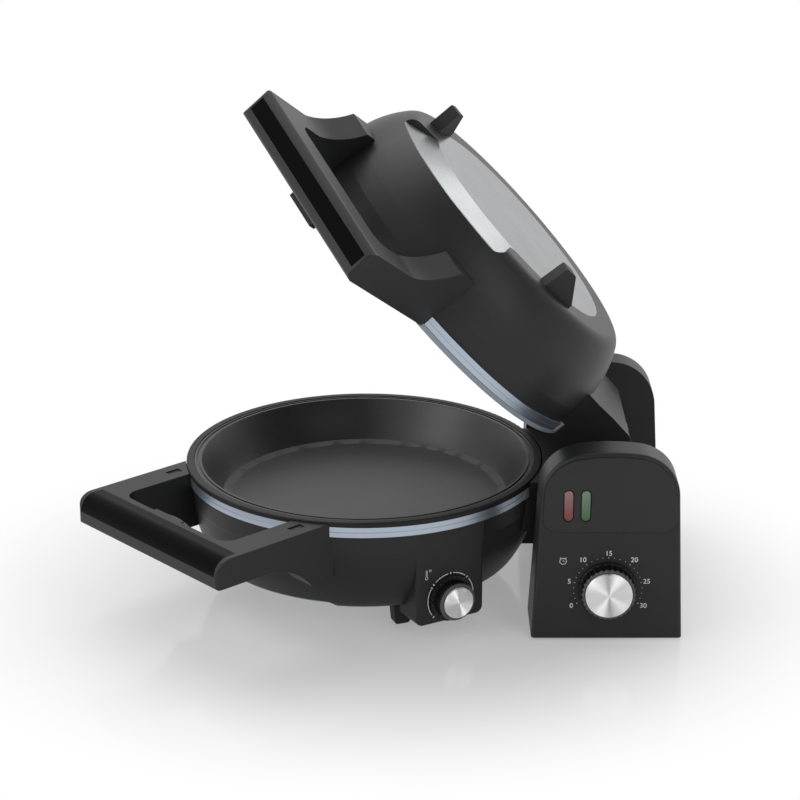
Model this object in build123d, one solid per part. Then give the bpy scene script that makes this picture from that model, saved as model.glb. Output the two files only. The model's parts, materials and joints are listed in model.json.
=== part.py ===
from build123d import *
import math
import os

# Tortilla maker: two round heating halves on one hinge pin between two towers.
# Hinge frame while modelling, millimetres: the origin is on the hinge axis in the pan's
# middle plane, +X points away from the pan, +Y to the rear and +Z up. The parting plane
# of the lower half is z = 0. At the end everything moves so that the origin is the
# bottom centre of the whole object's box.

# Overall layout
PAN_X = -176.0          # hinge axis to the pan's centre
AXIS_HEIGHT = 99.0      # table to hinge axis
LID_OPEN = 47.5         # lid angle as photographed, and the lid's whole travel
HANDLE_AZ = 42.0        # the handle points this far round from -X towards the front

# Shell of one half, radii about the pan's centre and depths below the parting plane
RIM_R = 137.0
RIM_TOP = 0.3
RIM_THICK = 3.7
LEDGE_R_IN = 127.0
LEDGE_THICK = 2.5
TRIM_R = 136.5
TRIM_BOTTOM = 12.0
BAND_R = 134.0          # shell wall behind the trim ring
BELLY_R = 135.0
BOTTOM_DEPTH = 79.0
BOTTOM_FLAT_R = 106.0
SHELL_WALL = 2.8
GAP = 0.2               # clearance between parts that are laid together

# Baking plate
LIP_R = 130.9
LIP_TOP = 0.8
MOUTH_R = 125.5
PLATE_FLOOR_R = 111.0
PLATE_DEPTH = 32.0
PLATE_WALL = 2.5
GROOVE_R = 128.2
GROOVE_W = 2.0
GROOVE_DEEP = 0.8

# Heater under the plate
ELEMENT_R = 90.0
ELEMENT_TUBE_R = 3.25
ELEMENT_GAP_DEG = 28.0
REFLECTOR_DEPTH = 48.0
REFLECTOR_R = 112.0
REFLECTOR_SHEET = 0.8
POST_CIRCLE_R = 72.0
POST_R = 5.0
POST_ANGLES = (20.0, 140.0, 260.0)
SCREW_R = 2.0
SCREW_HEAD_R = 3.6
SCREW_HEAD = 3.0

# Bright disc in the bottom of each shell
DISC_R = 89.0
DISC_SHEET = 1.2
SKIRT_R = 118.5
SKIRT_DEPTH = 72.6
SKIRT_HALF_DEG = 39.0
SKIRT_CORNER_R = 9.0

# Feet on each shell
FOOT_R = 95.0
FOOT_AZ = 69.0
FOOT_LENGTH = 29.0
FOOT_WIDTH = 10.0
FOOT_FLAT = 10.0

# Handle of each half: distance from the pan's centre, and half widths across it
BAR_IN = 185.0
BAR_OUT = 210.0
ARM_IN = 61.0
ARM_OUT = 84.0
HANDLE_TOP = 2.0
LOWER_BAR_DEPTH = 24.0
LID_BAR_DEPTH = 28.0
FINGER_CORNER_R = 12.0
HANDLE_CORNER_R = 4.0
LOWER_BAR_ROUND = 12.5
LID_BAR_ROUND = 6.0
GRIP_THICK = 2.0
GRIP_HALF = 80.0
GRIP_SKIRT = 7.5        # flat strip of the lower grip inboard of the round
LID_GRIP_TOP = 10.0
LID_GRIP_BOTTOM = 22.0
HAUNCH_DROP = 22.0
HAUNCH_REACH = 58.0
ARM_MARK_H = 123.0
ARM_MARK = (12.0, 6.0, 1.0)

# Neck and hinge
NECK_HALF_RIM = 58.0
NECK_HALF = 52.0
NECK_DEPTH = 41.0
NECK_RIDGE_X = -10.0
NECK_TAIL_X = 35.0
NECK_TAIL_DEPTH = 17.0
NECK_GAP = 1.0
LOWER_NECK_CUT = 49.0   # degrees of the lower neck's back left free for the lid's neck
KNUCKLE_R = 16.0
KNUCKLE_CLEAR_R = 17.3
LID_KNUCKLE = (26.0, 38.4)
LOWER_KNUCKLE = (39.6, 52.0)
PIN_R = 8.5
PIN_BORE_R = 6.0
RUN_CLEAR = 0.05
BUSH_R = 10.5
COVER_SHEET = 2.0
COVER_SUNK = 0.5
COVER_HALF = 36.0
CLIP = (7.0, 3.4, 7.6)
CLIP_Y = 62.0

# Latch between the two handles
LATCH_T = -6.0
LATCH_HALF = 16.0
LATCH_TRAVEL = 2.5
LATCH_PLATE = 3.0
LATCH_REACH = 7.5
LATCH_LIP = 3.0
LATCH_FREE = 0.5
CATCH_THICK = 2.2
CATCH_DEEP = 2.5

# Thermostat boss on the lower half
BOSS_AZ = 29.6          # round from the front towards +X
BOSS_FACE = 131.0
BOSS_HALF = 28.5
BOSS_TOP = 14.0
BOSS_BOTTOM = 88.0
BOSS_WALL = 3.0
BOSS_BACK = 103.5
THERMO_DEPTH = 69.0
THERMO_BODY = (21.0, 26.0, 26.0)

# Knobs: flange, knurled skirt, cap radii and heights above the panel
TIMER_KNOB = {"flange": 21.5, "skirt": 20.0, "cap": 17.5, "height": 13.0, "ribs": 44}
THERMO_KNOB = {"flange": 18.0, "skirt": 14.0, "cap": 11.3, "height": 13.0, "ribs": 34}
KNOB_GAP = 0.6
KNOB_FLANGE = 1.8
CAP_THICK = 2.0
SHAFT_R = 3.0
SHAFT_IN = 12.0
KNURL_DEEP = 0.7

# Base: two towers, mirrored about the plane y = MID_Y, and a bridge
MID_Y = -12.0
TOWER_X = 3.5
TOWER_TOP = 49.0
TOWER_HALF_BOTTOM = 55.5
TOWER_HALF_TOP = 49.5
CROWN_R = 160.0
ARCH_CORNER_R = 34.0
TOWER_OUT = 113.0       # mid-plane to a tower's outer face
TOWER_IN_BOTTOM = 61.0
TOWER_IN_TOP = 88.0
TOWER_WALL = 2.6
TOWER_EDGE_R = 3.0
FOOT_PAD = 2.0
FOOT_PAD_R = 7.0
BOTTOM_PLATE = 2.5
PIVOT_BOSS_R = 22.0
PIVOT_BOSS_END = 52.6
BOSS_INSIDE = 84.0      # mid-plane to the end of the pivot boss inside a tower
NUT_R = 14.0
NUT_THICK = 6.0
PIN_PAST_NUT = 2.0
WIRE_R = 2.2
WIRE_CIRCLE_R = 2.9
BRIDGE_TOP = 78.0
BRIDGE_X = (-25.0, 45.0)
BRIDGE_PLUG = 6.0
BRIDGE_WIRE_R = 5.0

# Front tower: lamp panel, lamps and timer
PANEL_BOTTOM = 12.0
PANEL_MARGIN = 5.0
PANEL_PROUD = 1.2
PANEL_SUNK = 1.0
PANEL_CORNER_R = 11.0
LENS = (6.4, 23.5)
LENS_Z = 8.7
RED_LENS_X = -30.2
GREEN_LENS_X = -17.7
LENS_PROUD = 0.6
LENS_DEPTH = 7.0
LAMP_R = 2.5
BOARD = (36.0, 1.6, 36.0)
BOARD_IN = 14.0
TIMER_Z = -57.5
TIMER_BODY = (46.0, 26.0, 46.0)
BELL_R = 16.0
BELL_DEPTH = 6.0
BELL_SHEET = 1.2
POST_X = 48.5
TERMINAL = (40.0, 18.0, 14.0)
GLAND_Z = -80.0
GLAND_R = 6.0
GLAND_FLANGE_R = 9.0
GLAND_BORE_R = 3.5
GLAND_OUT = 9.0

BASE_BOTTOM = -AXIS_HEIGHT + FOOT_PAD
FOOT_DEPTH = AXIS_HEIGHT
LEDGE_TOP = RIM_TOP + RIM_THICK
LEDGE_BOTTOM = LEDGE_TOP + LEDGE_THICK
UP = (Align.CENTER, Align.CENTER, Align.MIN)


# Small helpers for plain shapes
def block(x0, x1, y0, y1, z0, z1):
    solid = Box(x1 - x0, y1 - y0, z1 - z0, align=(Align.MIN, Align.MIN, Align.MIN))
    return Pos(x0, y0, z0) * solid


def post(radius, z0, z1, x=0.0, y=0.0):
    return Pos(x, y, z0) * Cylinder(radius, z1 - z0, align=UP)


def rod(radius, y0, y1, x=0.0, z=0.0):
    return Pos(x, y1, z) * Rot(90, 0, 0) * Cylinder(radius, y1 - y0, align=UP)


def tube(outer, inner, y0, y1):
    return rod(outer, y0, y1) - rod(inner, y0 - 1, y1 + 1)


def washer(outer, inner, z0, z1):
    return post(outer, z0, z1) - post(inner, z0 - 1, z1 + 1)


def along_y(face, y0, y1):
    return extrude(Pos(0, y0, 0) * (Plane.XZ * face), amount=y1 - y0, dir=(0, 1, 0))


def spun(face):
    return revolve(Plane.XZ * face, Axis.Z)


def shape(points):
    return Polygon(*points, align=None)


def at_angle(radius, degrees):
    return radius * math.cos(math.radians(degrees)), radius * math.sin(math.radians(degrees))


# Frames: the pan's centre, the handle's direction and the thermostat's face
PAN = Pos(PAN_X, 0, 0)
HANDLE = PAN * Rot(0, 0, 180 + HANDLE_AZ)
BOSS = PAN * Rot(0, 0, BOSS_AZ - 90)


def to_lid(solid):
    return Rot(0, LID_OPEN, 0) * mirror(solid, about=Plane.XY)


# Shell outline from the flat bottom to the top of the belly, as radius and height
SHELL_CURVE = [
    (BOTTOM_FLAT_R, -BOTTOM_DEPTH),
    (BELLY_R - 16.0, -BOTTOM_DEPTH + 7.7),
    (BELLY_R - 10.5, -BOTTOM_DEPTH + 17.0),
    (BELLY_R - 3.0, -BOTTOM_DEPTH + 39.0),
    (BELLY_R - 1.0, -BOTTOM_DEPTH + 51.0),
    (BELLY_R, -TRIM_BOTTOM - GAP),
]


def inset(points, wall):
    moved = []
    for i, (r, z) in enumerate(points):
        before = points[max(i - 1, 0)]
        after = points[min(i + 1, len(points) - 1)]
        dr, dz = after[0] - before[0], after[1] - before[1]
        if i == 0:
            dr, dz = 1.0, 0.0
        size = math.hypot(dr, dz)
        moved.append((r - wall * dz / size, z + wall * dr / size))
    return moved


def bowl(points, floor, top):
    """A solid bowl under the curve, with extra points below and above it."""
    curve = Spline(*points, tangents=[(1, 0), (0.05, 1)])
    rest = Polyline(points[-1], *top, (0, top[-1][1]), (0, floor[0][1]), *floor[1:], points[0])
    return spun(make_face(curve + rest))


def shell_outer():
    top = [(BAND_R, -TRIM_BOTTOM - GAP), (BAND_R, -LEDGE_BOTTOM)]
    return bowl(SHELL_CURVE, [(0, -BOTTOM_DEPTH)], top)


def shell_void():
    floor = -BOTTOM_DEPTH + DISC_SHEET + SHELL_WALL
    step = inset(SHELL_CURVE, SHELL_WALL + 5.2)[0][1]
    curve = inset(SHELL_CURVE, SHELL_WALL)
    curve[0] = (BOTTOM_FLAT_R - 4.0, step)
    curve[1] = (curve[1][0] - 3.4, curve[1][1] + 2.6)
    top = [(BAND_R - SHELL_WALL, -TRIM_BOTTOM), (BAND_R - SHELL_WALL, 1)]
    return bowl(curve, [(0, floor), (DISC_R - 5.0, floor), (DISC_R + 5.0, step)], top)


# Handle, in the handle's frame: x runs outwards and y across
def handle_round(depth, radius, at_top):
    """What a round of this radius takes off the bar's outer edge."""
    z = -HANDLE_TOP - radius if at_top else -depth + radius
    far = 1.0
    side = 1.0 if at_top else -1.0
    corner = Pos(BAR_OUT - radius + (radius + far) / 2, z + side * (radius + far) / 2)
    section = corner * Rectangle(radius + far, radius + far)
    section -= Pos(BAR_OUT - radius, z) * Circle(radius)
    return along_y(section, -ARM_OUT - 1, ARM_OUT + 1)


def handle_blank(depth):
    start = RIM_R - 50.0
    outline = Pos((start + BAR_OUT) / 2, 0) * Rectangle(BAR_OUT - start, 2 * ARM_OUT)
    outer_corners = outline.vertices().group_by(Axis.X)[-1]
    outline = fillet(outer_corners, HANDLE_CORNER_R)
    hole = Pos((start + BAR_IN) / 2 - 5, 0) * Rectangle(BAR_IN - start + 10, 2 * ARM_IN)
    hole = fillet(hole.vertices().group_by(Axis.X)[-1], FINGER_CORNER_R)
    blank = extrude(Pos(0, 0, -depth) * (outline - hole), amount=depth - HANDLE_TOP)
    tip = BAR_IN - 3.0
    root = tip - HAUNCH_REACH
    under = ThreePointArc(
        (tip, -depth),
        (tip - 0.62 * HAUNCH_REACH, -depth - 0.2 * HAUNCH_DROP),
        (root, -depth - HAUNCH_DROP),
    )
    back = Polyline((root, -depth - HAUNCH_DROP), (root - 20, -depth - HAUNCH_DROP), (root - 20, -depth + 2))
    close = Polyline((root - 20, -depth + 2), (tip, -depth + 2), (tip, -depth))
    haunch = make_face(under + back + close)
    for side in (-1, 1):
        low, high = sorted((side * ARM_IN, side * ARM_OUT))
        blank += along_y(haunch, low, high)
        mark_x, mark_y, mark_z = ARM_MARK
        middle = side * (ARM_IN + ARM_OUT) / 2
        blank -= block(
            ARM_MARK_H, ARM_MARK_H + mark_x, middle - mark_y / 2, middle + mark_y / 2, -HANDLE_TOP - mark_z, 1
        )
    return blank


def lower_grip_solid():
    flat_x = BAR_OUT - LOWER_BAR_ROUND
    centre_z = -HANDLE_TOP - LOWER_BAR_ROUND
    inner = LOWER_BAR_ROUND - GRIP_THICK
    back_x = flat_x - GRIP_SKIRT
    section = shape([(back_x, centre_z), (flat_x, centre_z), (BAR_OUT, centre_z), (BAR_OUT, -HANDLE_TOP),
                     (back_x, -HANDLE_TOP)])
    corner = Pos(flat_x + LOWER_BAR_ROUND / 2, centre_z + LOWER_BAR_ROUND / 2)
    square = corner * Rectangle(LOWER_BAR_ROUND, LOWER_BAR_ROUND)
    section -= square - Pos(flat_x, centre_z) * Circle(LOWER_BAR_ROUND)
    section -= Pos(flat_x, centre_z) * Circle(inner)
    section -= shape([(back_x - 1, centre_z - 1), (flat_x, centre_z - 1), (flat_x, centre_z + inner),
                      (back_x - 1, centre_z + inner)])
    return along_y(section, -GRIP_HALF, GRIP_HALF)


def lid_grip_solid():
    return block(BAR_OUT - GRIP_THICK, BAR_OUT, -GRIP_HALF, GRIP_HALF, -LID_GRIP_BOTTOM, -LID_GRIP_TOP)


# Neck, in the hinge frame
def neck_blank(is_lid):
    front = PAN_X + BAND_R - 34.0
    side = shape([
        (front, -NECK_GAP),
        (NECK_TAIL_X + 3.0, -NECK_GAP),
        (NECK_TAIL_X, -NECK_TAIL_DEPTH),
        (NECK_RIDGE_X, -NECK_DEPTH + 1.0),
        (front, -NECK_DEPTH),
    ])
    if not is_lid:
        reach = 90.0
        drop = reach * math.tan(math.radians(LOWER_NECK_CUT))
        side -= shape([(0, 0), (reach, 0), (reach, -drop)])
    plan = shape([
        (front, -NECK_HALF_RIM),
        (PAN_X + RIM_R - 6.0, -NECK_HALF_RIM + 1.0),
        (PAN_X + RIM_R + 10.0, -NECK_HALF),
        (NECK_TAIL_X + 5.0, -NECK_HALF),
        (NECK_TAIL_X + 5.0, NECK_HALF),
        (PAN_X + RIM_R + 10.0, NECK_HALF),
        (PAN_X + RIM_R - 6.0, NECK_HALF_RIM - 1.0),
        (front, NECK_HALF_RIM),
    ])
    return along_y(side, -NECK_HALF_RIM, NECK_HALF_RIM) & extrude(Pos(0, 0, -60) * plan, amount=60)


def slope_frame():
    """On the neck's back slope, at its ridge: x runs down the slope and z out of it."""
    run = NECK_TAIL_X - NECK_RIDGE_X
    rise = NECK_DEPTH - 1.0 - NECK_TAIL_DEPTH
    length = math.hypot(run, rise)
    out = (rise / length, 0, -run / length)
    return Plane(origin=(NECK_RIDGE_X, 0, -NECK_DEPTH + 1.0), x_dir=(run / length, 0, rise / length), z_dir=out)


def cover_span(is_lid):
    return (5.0, 43.0) if is_lid else (4.0, 27.0)


def neck_cover(is_lid):
    start, end = cover_span(is_lid)
    solid = block(start, end, -COVER_HALF, COVER_HALF, -COVER_SUNK - COVER_SHEET, -COVER_SUNK)
    edges = solid.edges().filter_by(Axis.Z)
    return slope_frame().location * fillet(edges, 3.0)


def neck_recess(is_lid):
    start, end = cover_span(is_lid)
    seat = block(start, end, -COVER_HALF, COVER_HALF, -COVER_SUNK - COVER_SHEET, 5)
    seat = fillet(seat.edges().filter_by(Axis.Z), 3.0)
    inner = block(start + 3, end - 5, -COVER_HALF + 4, COVER_HALF - 4, -9.0, 0)
    return slope_frame().location * (seat + inner)


def neck(is_lid):
    solid = neck_blank(is_lid) - neck_recess(is_lid)
    own = LID_KNUCKLE if is_lid else LOWER_KNUCKLE
    for side in (-1, 1):
        low, high = sorted((side * own[0], side * own[1]))
        if is_lid:
            low2, high2 = sorted((side * (own[1] + 0.3), side * (NECK_HALF_RIM + 2)))
            solid -= rod(KNUCKLE_CLEAR_R, low2, high2)
    if is_lid:
        solid -= rod(KNUCKLE_CLEAR_R, -own[0], own[0])
    else:
        solid -= rod(KNUCKLE_CLEAR_R, -own[0] + 0.3, own[0] - 0.3)
        side_clear = NECK_HALF_RIM + 2
        for side in (-1, 1):
            low, high = sorted((side * own[1], side * side_clear))
            solid -= rod(PIVOT_BOSS_R + 1.0, low, high)
    for side in (-1, 1):
        low, high = sorted((side * own[0], side * own[1]))
        solid += rod(KNUCKLE_R, low, high)
    return solid - rod(BUSH_R, -NECK_HALF_RIM - 5, NECK_HALF_RIM + 5)


def bushes(is_lid):
    own = LID_KNUCKLE if is_lid else LOWER_KNUCKLE
    parts = []
    for side in (-1, 1):
        low, high = sorted((side * own[0], side * own[1]))
        parts.append(tube(BUSH_R, PIN_R + RUN_CLEAR, low, high))
    return parts


# Pieces of one half, about the pan's centre with the parting plane at z = 0
def disc_plan():
    wedge_far = 2 * SKIRT_R
    x, y = at_angle(wedge_far, SKIRT_HALF_DEG)
    sector = shape([(0, 0), (x, -y), (x, y)]) & Circle(SKIRT_R)
    plan = Circle(DISC_R) + sector
    return fillet(plan.vertices().filter_by(lambda v: v.X > 1.0), SKIRT_CORNER_R)


def disc_surface(shift, depth_below):
    """The disc's outer surface moved inwards by shift, with solid below it."""
    rise = BOTTOM_DEPTH - SKIRT_DEPTH
    past = SKIRT_R + 12.0
    slope = rise / (SKIRT_R - DISC_R)
    edge = -BOTTOM_DEPTH + slope * (past - DISC_R)
    return spun(shape([
        (0, -BOTTOM_DEPTH + shift),
        (DISC_R, -BOTTOM_DEPTH + shift),
        (past, edge + shift),
        (past, edge + shift - depth_below),
        (DISC_R, -BOTTOM_DEPTH + shift - depth_below),
        (0, -BOTTOM_DEPTH + shift - depth_below),
    ]))


def disc_prism():
    return Rot(0, 0, 180 + HANDLE_AZ) * extrude(Pos(0, 0, -120) * disc_plan(), amount=120)


def disc():
    return disc_surface(DISC_SHEET, DISC_SHEET) & disc_prism()


def disc_pocket():
    return disc_surface(DISC_SHEET, 30.0) & disc_prism()


def feet():
    half = FOOT_LENGTH / 2
    side = shape([
        (-half, -BOTTOM_DEPTH),
        (-half + 2.0, -FOOT_DEPTH),
        (-half + 2.0 + FOOT_FLAT, -FOOT_DEPTH),
        (half, -BOTTOM_DEPTH - 2.5),
        (half, -BOTTOM_DEPTH),
    ])
    foot = along_y(side, -FOOT_WIDTH / 2, FOOT_WIDTH / 2)
    foot = fillet(foot.edges().filter_by(Axis.Y).group_by(Axis.Z)[0], 1.5)
    parts = []
    for side_sign in (-1, 1):
        turned = foot if side_sign > 0 else mirror(foot, about=Plane.YZ)
        place = Rot(0, 0, 180 + HANDLE_AZ + side_sign * FOOT_AZ) * Pos(FOOT_R, 0, 0) * Rot(0, 0, 90)
        parts.append(place * turned)
    return parts


def rim_ring():
    flange = washer(RIM_R, LIP_R + 0.3, -LEDGE_TOP, -RIM_TOP)
    flange = fillet(flange.edges().group_by(Axis.Z)[-1].sort_by(SortBy.LENGTH)[-1], 1.2)
    return flange + washer(BAND_R, LEDGE_R_IN, -LEDGE_BOTTOM, -LEDGE_TOP)


def plate():
    inner_low = -PLATE_DEPTH + 6.0
    under = -PLATE_DEPTH - PLATE_WALL
    section = shape([
        (0, -PLATE_DEPTH),
        (PLATE_FLOOR_R - 7.0, -PLATE_DEPTH),
        (PLATE_FLOOR_R - 1.0, -PLATE_DEPTH + 1.6),
        (PLATE_FLOOR_R + 2.0, inner_low),
        (MOUTH_R - 1.0, -LIP_TOP - 1.5),
        (MOUTH_R, -LIP_TOP),
        (GROOVE_R - GROOVE_W / 2, -LIP_TOP),
        (GROOVE_R - GROOVE_W / 2, -LIP_TOP - GROOVE_DEEP),
        (GROOVE_R + GROOVE_W / 2, -LIP_TOP - GROOVE_DEEP),
        (GROOVE_R + GROOVE_W / 2, -LIP_TOP),
        (LIP_R, -LIP_TOP),
        (LIP_R, -LEDGE_TOP),
        (MOUTH_R + 0.4, -LEDGE_TOP),
        (PLATE_FLOOR_R + 2.0 + PLATE_WALL, inner_low),
        (PLATE_FLOOR_R - 1.0 + PLATE_WALL, under + 2.4),
        (PLATE_FLOOR_R - 5.5, under),
        (0, under),
    ])
    solid = spun(section)
    for angle in POST_ANGLES:
        x, y = at_angle(POST_CIRCLE_R, angle)
        solid += post(POST_R, -REFLECTOR_DEPTH, under, x, y)
        solid -= post(SCREW_R, -REFLECTOR_DEPTH - 1, under - 2.5, x, y)
    return solid


def trim_ring():
    band = washer(TRIM_R, BAND_R, -TRIM_BOTTOM, -LEDGE_TOP - GAP)
    line = washer(TRIM_R + 1, TRIM_R - 0.4, -TRIM_BOTTOM / 2 - 2.3, -TRIM_BOTTOM / 2 - 1.9)
    return band - line


def clips():
    parts = []
    deep, wide, high = CLIP[1], CLIP[0], CLIP[2]
    angle = math.degrees(math.asin(CLIP_Y / RIM_R))
    for side in (-1, 1):
        piece = block(BAND_R, BAND_R + deep, -wide / 2, wide / 2, -LEDGE_TOP - GAP - high, -LEDGE_TOP - GAP)
        parts.append(Rot(0, 0, side * angle) * piece)
    return parts


def heating_element():
    z = -PLATE_DEPTH - PLATE_WALL - 0.3 - ELEMENT_TUBE_R
    section = Plane.XZ * (Pos(ELEMENT_R, z) * Circle(ELEMENT_TUBE_R))
    start = ELEMENT_GAP_DEG / 2
    loop = Rot(0, 0, start) * revolve(section, Axis.Z, revolution_arc=360 - ELEMENT_GAP_DEG)
    for angle in (start, -start):
        x, y = at_angle(ELEMENT_R, angle)
        loop += Pos(x, y, z) * Sphere(ELEMENT_TUBE_R)
        loop += post(ELEMENT_TUBE_R, -REFLECTOR_DEPTH - 12, z, x, y)
    return loop


def reflector():
    lift = 8.0
    section = shape([
        (0, -REFLECTOR_DEPTH),
        (REFLECTOR_R - 8, -REFLECTOR_DEPTH),
        (REFLECTOR_R, -REFLECTOR_DEPTH + lift),
        (REFLECTOR_R + 1, -REFLECTOR_DEPTH + lift),
        (REFLECTOR_R - 7.2, -REFLECTOR_DEPTH - REFLECTOR_SHEET),
        (0, -REFLECTOR_DEPTH - REFLECTOR_SHEET),
    ])
    solid = spun(section)
    for angle in POST_ANGLES:
        x, y = at_angle(POST_CIRCLE_R, angle)
        solid -= post(SCREW_R + 0.1, -REFLECTOR_DEPTH - 5, -REFLECTOR_DEPTH + 5, x, y)
    for angle in (ELEMENT_GAP_DEG / 2, -ELEMENT_GAP_DEG / 2):
        x, y = at_angle(ELEMENT_R, angle)
        solid -= post(ELEMENT_TUBE_R + 0.6, -REFLECTOR_DEPTH - 5, -REFLECTOR_DEPTH + 5, x, y)
    return solid


SEAT_DEPTH = BOTTOM_DEPTH - 9.0


def shell_posts():
    """Hollow posts that carry the reflector and the plate, with a seat for each screw head."""
    solids = []
    bores = []
    floor = -BOTTOM_DEPTH + DISC_SHEET
    for angle in POST_ANGLES:
        x, y = at_angle(POST_CIRCLE_R, angle)
        solids.append(post(POST_R + 2.0, floor, -REFLECTOR_DEPTH - REFLECTOR_SHEET, x, y))
        bores.append(post(SCREW_R + 0.2, floor - 1, -REFLECTOR_DEPTH + 1, x, y))
        bores.append(post(SCREW_HEAD_R + 0.4, floor - 1, -SEAT_DEPTH, x, y))
    return solids, bores


def plate_screws():
    parts = []
    for angle in POST_ANGLES:
        x, y = at_angle(POST_CIRCLE_R, angle)
        head = post(SCREW_HEAD_R, -SEAT_DEPTH - SCREW_HEAD, -SEAT_DEPTH, x, y)
        shank = post(SCREW_R, -SEAT_DEPTH, -PLATE_DEPTH - PLATE_WALL - 4, x, y)
        parts.append(head + shank)
    return parts


# Thermostat, in the frame of the boss: x runs out of its face
def boss_blank():
    solid = block(BOSS_BACK, BOSS_FACE, -BOSS_HALF, BOSS_HALF, -BOSS_BOTTOM, -BOSS_TOP)
    low = solid.edges().group_by(Axis.Z)[0]
    solid = fillet(low.filter_by(Axis.X), 6.0)
    return fillet(solid.edges().group_by(Axis.Z)[0].filter_by(Axis.Y), 2.5)


def boss_room():
    return block(
        BOSS_BACK + BOSS_WALL, BOSS_FACE - BOSS_WALL, -BOSS_HALF + BOSS_WALL, BOSS_HALF - BOSS_WALL,
        -BOSS_BOTTOM + BOSS_WALL, -BOSS_TOP - BOSS_WALL,
    )


def thermostat():
    deep, wide, high = THERMO_BODY
    face = BOSS_FACE - BOSS_WALL
    solid = block(face - deep, face, -wide / 2, wide / 2, -THERMO_DEPTH - high / 2, -THERMO_DEPTH + high / 2)
    solid = solid - Pos(face, 0, -THERMO_DEPTH) * Rot(0, -90, 0) * Cylinder(SHAFT_R + 0.08, SHAFT_IN, align=UP)
    return solid


def knob_body(spec):
    top = spec["height"] - CAP_THICK
    solid = post(spec["flange"], KNOB_GAP, KNOB_GAP + KNOB_FLANGE)
    points = []
    for i in range(2 * spec["ribs"]):
        radius = spec["skirt"] - KNURL_DEEP * (i % 2)
        points.append(at_angle(radius, i * 180.0 / spec["ribs"]))
    skirt_top = top - 1.6
    solid += extrude(Pos(0, 0, KNOB_GAP + KNOB_FLANGE) * shape(points), amount=skirt_top - KNOB_GAP - KNOB_FLANGE)
    solid += post(spec["cap"] + 0.9, skirt_top, top)
    return solid - post(SHAFT_R, KNOB_GAP - 1, top - 3)


def knob_cap(spec):
    solid = post(spec["cap"], spec["height"] - CAP_THICK, spec["height"])
    return fillet(solid.edges().group_by(Axis.Z)[-1], 0.8)


def knob_shaft(spec, wall):
    return post(SHAFT_R, -wall - SHAFT_IN + 1.0, spec["height"] - CAP_THICK - 3)


TIMER_FRAME = Plane(origin=(TOWER_X, MID_Y - TOWER_OUT, TIMER_Z), x_dir=(1, 0, 0), z_dir=(0, -1, 0)).location
THERMO_FRAME = BOSS * Plane(origin=(BOSS_FACE, 0, -THERMO_DEPTH), x_dir=(0, 1, 0), z_dir=(1, 0, 0)).location


# Latch, in the handle's frame of the lid before it is mirrored up
def latch_low_x():
    return BAR_IN - CATCH_DEEP - LATCH_FREE - LATCH_LIP - LATCH_PLATE


def lid_latch():
    x = latch_low_x()
    low, high = LATCH_T - LATCH_HALF, LATCH_T + LATCH_HALF
    tab = block(x, x + LATCH_PLATE, low, high, -14.0, LATCH_REACH)
    tab += block(x, x + LATCH_PLATE + LATCH_LIP, low, high, LATCH_REACH - LATCH_LIP, LATCH_REACH)
    tab += block(x, BAR_IN + 3.0, LATCH_T - 8, LATCH_T + 8, -14.0, -8.0)
    tab += block(BAR_IN + 1.5, BAR_IN + 9.0, LATCH_T - 10, LATCH_T + 10, -16.0, -6.0)
    return tab


def latch_pocket():
    return block(
        BAR_IN - 1, BAR_IN + 9.0 + LATCH_TRAVEL + 0.3, LATCH_T - 10.3, LATCH_T + 10.3, -16.3, -5.7
    )


def latch_catch():
    return block(
        BAR_IN - CATCH_DEEP, BAR_IN + 3.0, LATCH_T - LATCH_HALF, LATCH_T + LATCH_HALF,
        -HANDLE_TOP - CATCH_THICK, -HANDLE_TOP,
    )


# One whole moulded shell with its handle and neck, in the hinge frame
def half_shell(is_lid):
    depth = LID_BAR_DEPTH if is_lid else LOWER_BAR_DEPTH
    handle = handle_blank(depth)
    if is_lid:
        handle -= handle_round(depth, LID_BAR_ROUND, True)
        handle -= handle_round(depth, LID_BAR_ROUND, False)
        handle -= lid_grip_solid()
        handle -= latch_pocket()
    else:
        handle -= handle_round(depth, LOWER_BAR_ROUND, True)
        handle -= handle_round(depth, 2.0, False)
        handle -= lower_grip_solid()
        handle -= latch_catch()
    solid = PAN * shell_outer() + HANDLE * handle + neck(is_lid)
    void = PAN * shell_void()
    if not is_lid:
        solid -= BOSS * block(BOSS_FACE, BOSS_FACE + 20, -BOSS_HALF, BOSS_HALF, -BOSS_BOTTOM, -BOSS_TOP)
        solid += BOSS * boss_blank()
        skin = BOSS * block(
            BOSS_FACE - BOSS_WALL, BOSS_FACE + 8, -BOSS_HALF - 1, BOSS_HALF + 1, -BOSS_BOTTOM, -BOSS_TOP + BOSS_WALL
        )
        void = void - skin
    solid -= void
    if not is_lid:
        solid -= BOSS * boss_room()
        solid -= THERMO_FRAME * post(SHAFT_R + 0.4, -BOSS_WALL - 2, 2)
    solid -= PAN * post(RIM_R + 0.3, -LEDGE_TOP - GAP, 2)
    solid -= PAN * post(BAND_R, -LEDGE_BOTTOM, 2)
    solid -= PAN * disc_pocket()
    posts, bores = shell_posts()
    for piece in posts:
        solid += PAN * piece
    for piece in bores:
        solid -= PAN * piece
    for piece in clips():
        solid -= PAN * piece
    return solid


def trimmed_trim(is_lid):
    """The bright band stops at the handle's arms, the neck and the clips beside it."""
    depth = LID_BAR_DEPTH if is_lid else LOWER_BAR_DEPTH
    band = PAN * trim_ring()
    for side in (-1, 1):
        low, high = sorted((side * (ARM_IN - GAP), side * (ARM_OUT + GAP)))
        band -= HANDLE * block(RIM_R - 60, BAR_IN, low, high, -depth, 0)
    clip_edge = CLIP_Y + CLIP[0] / 2
    return band - block(PAN_X + 60, 0, -clip_edge, clip_edge, -30, 0)


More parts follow.
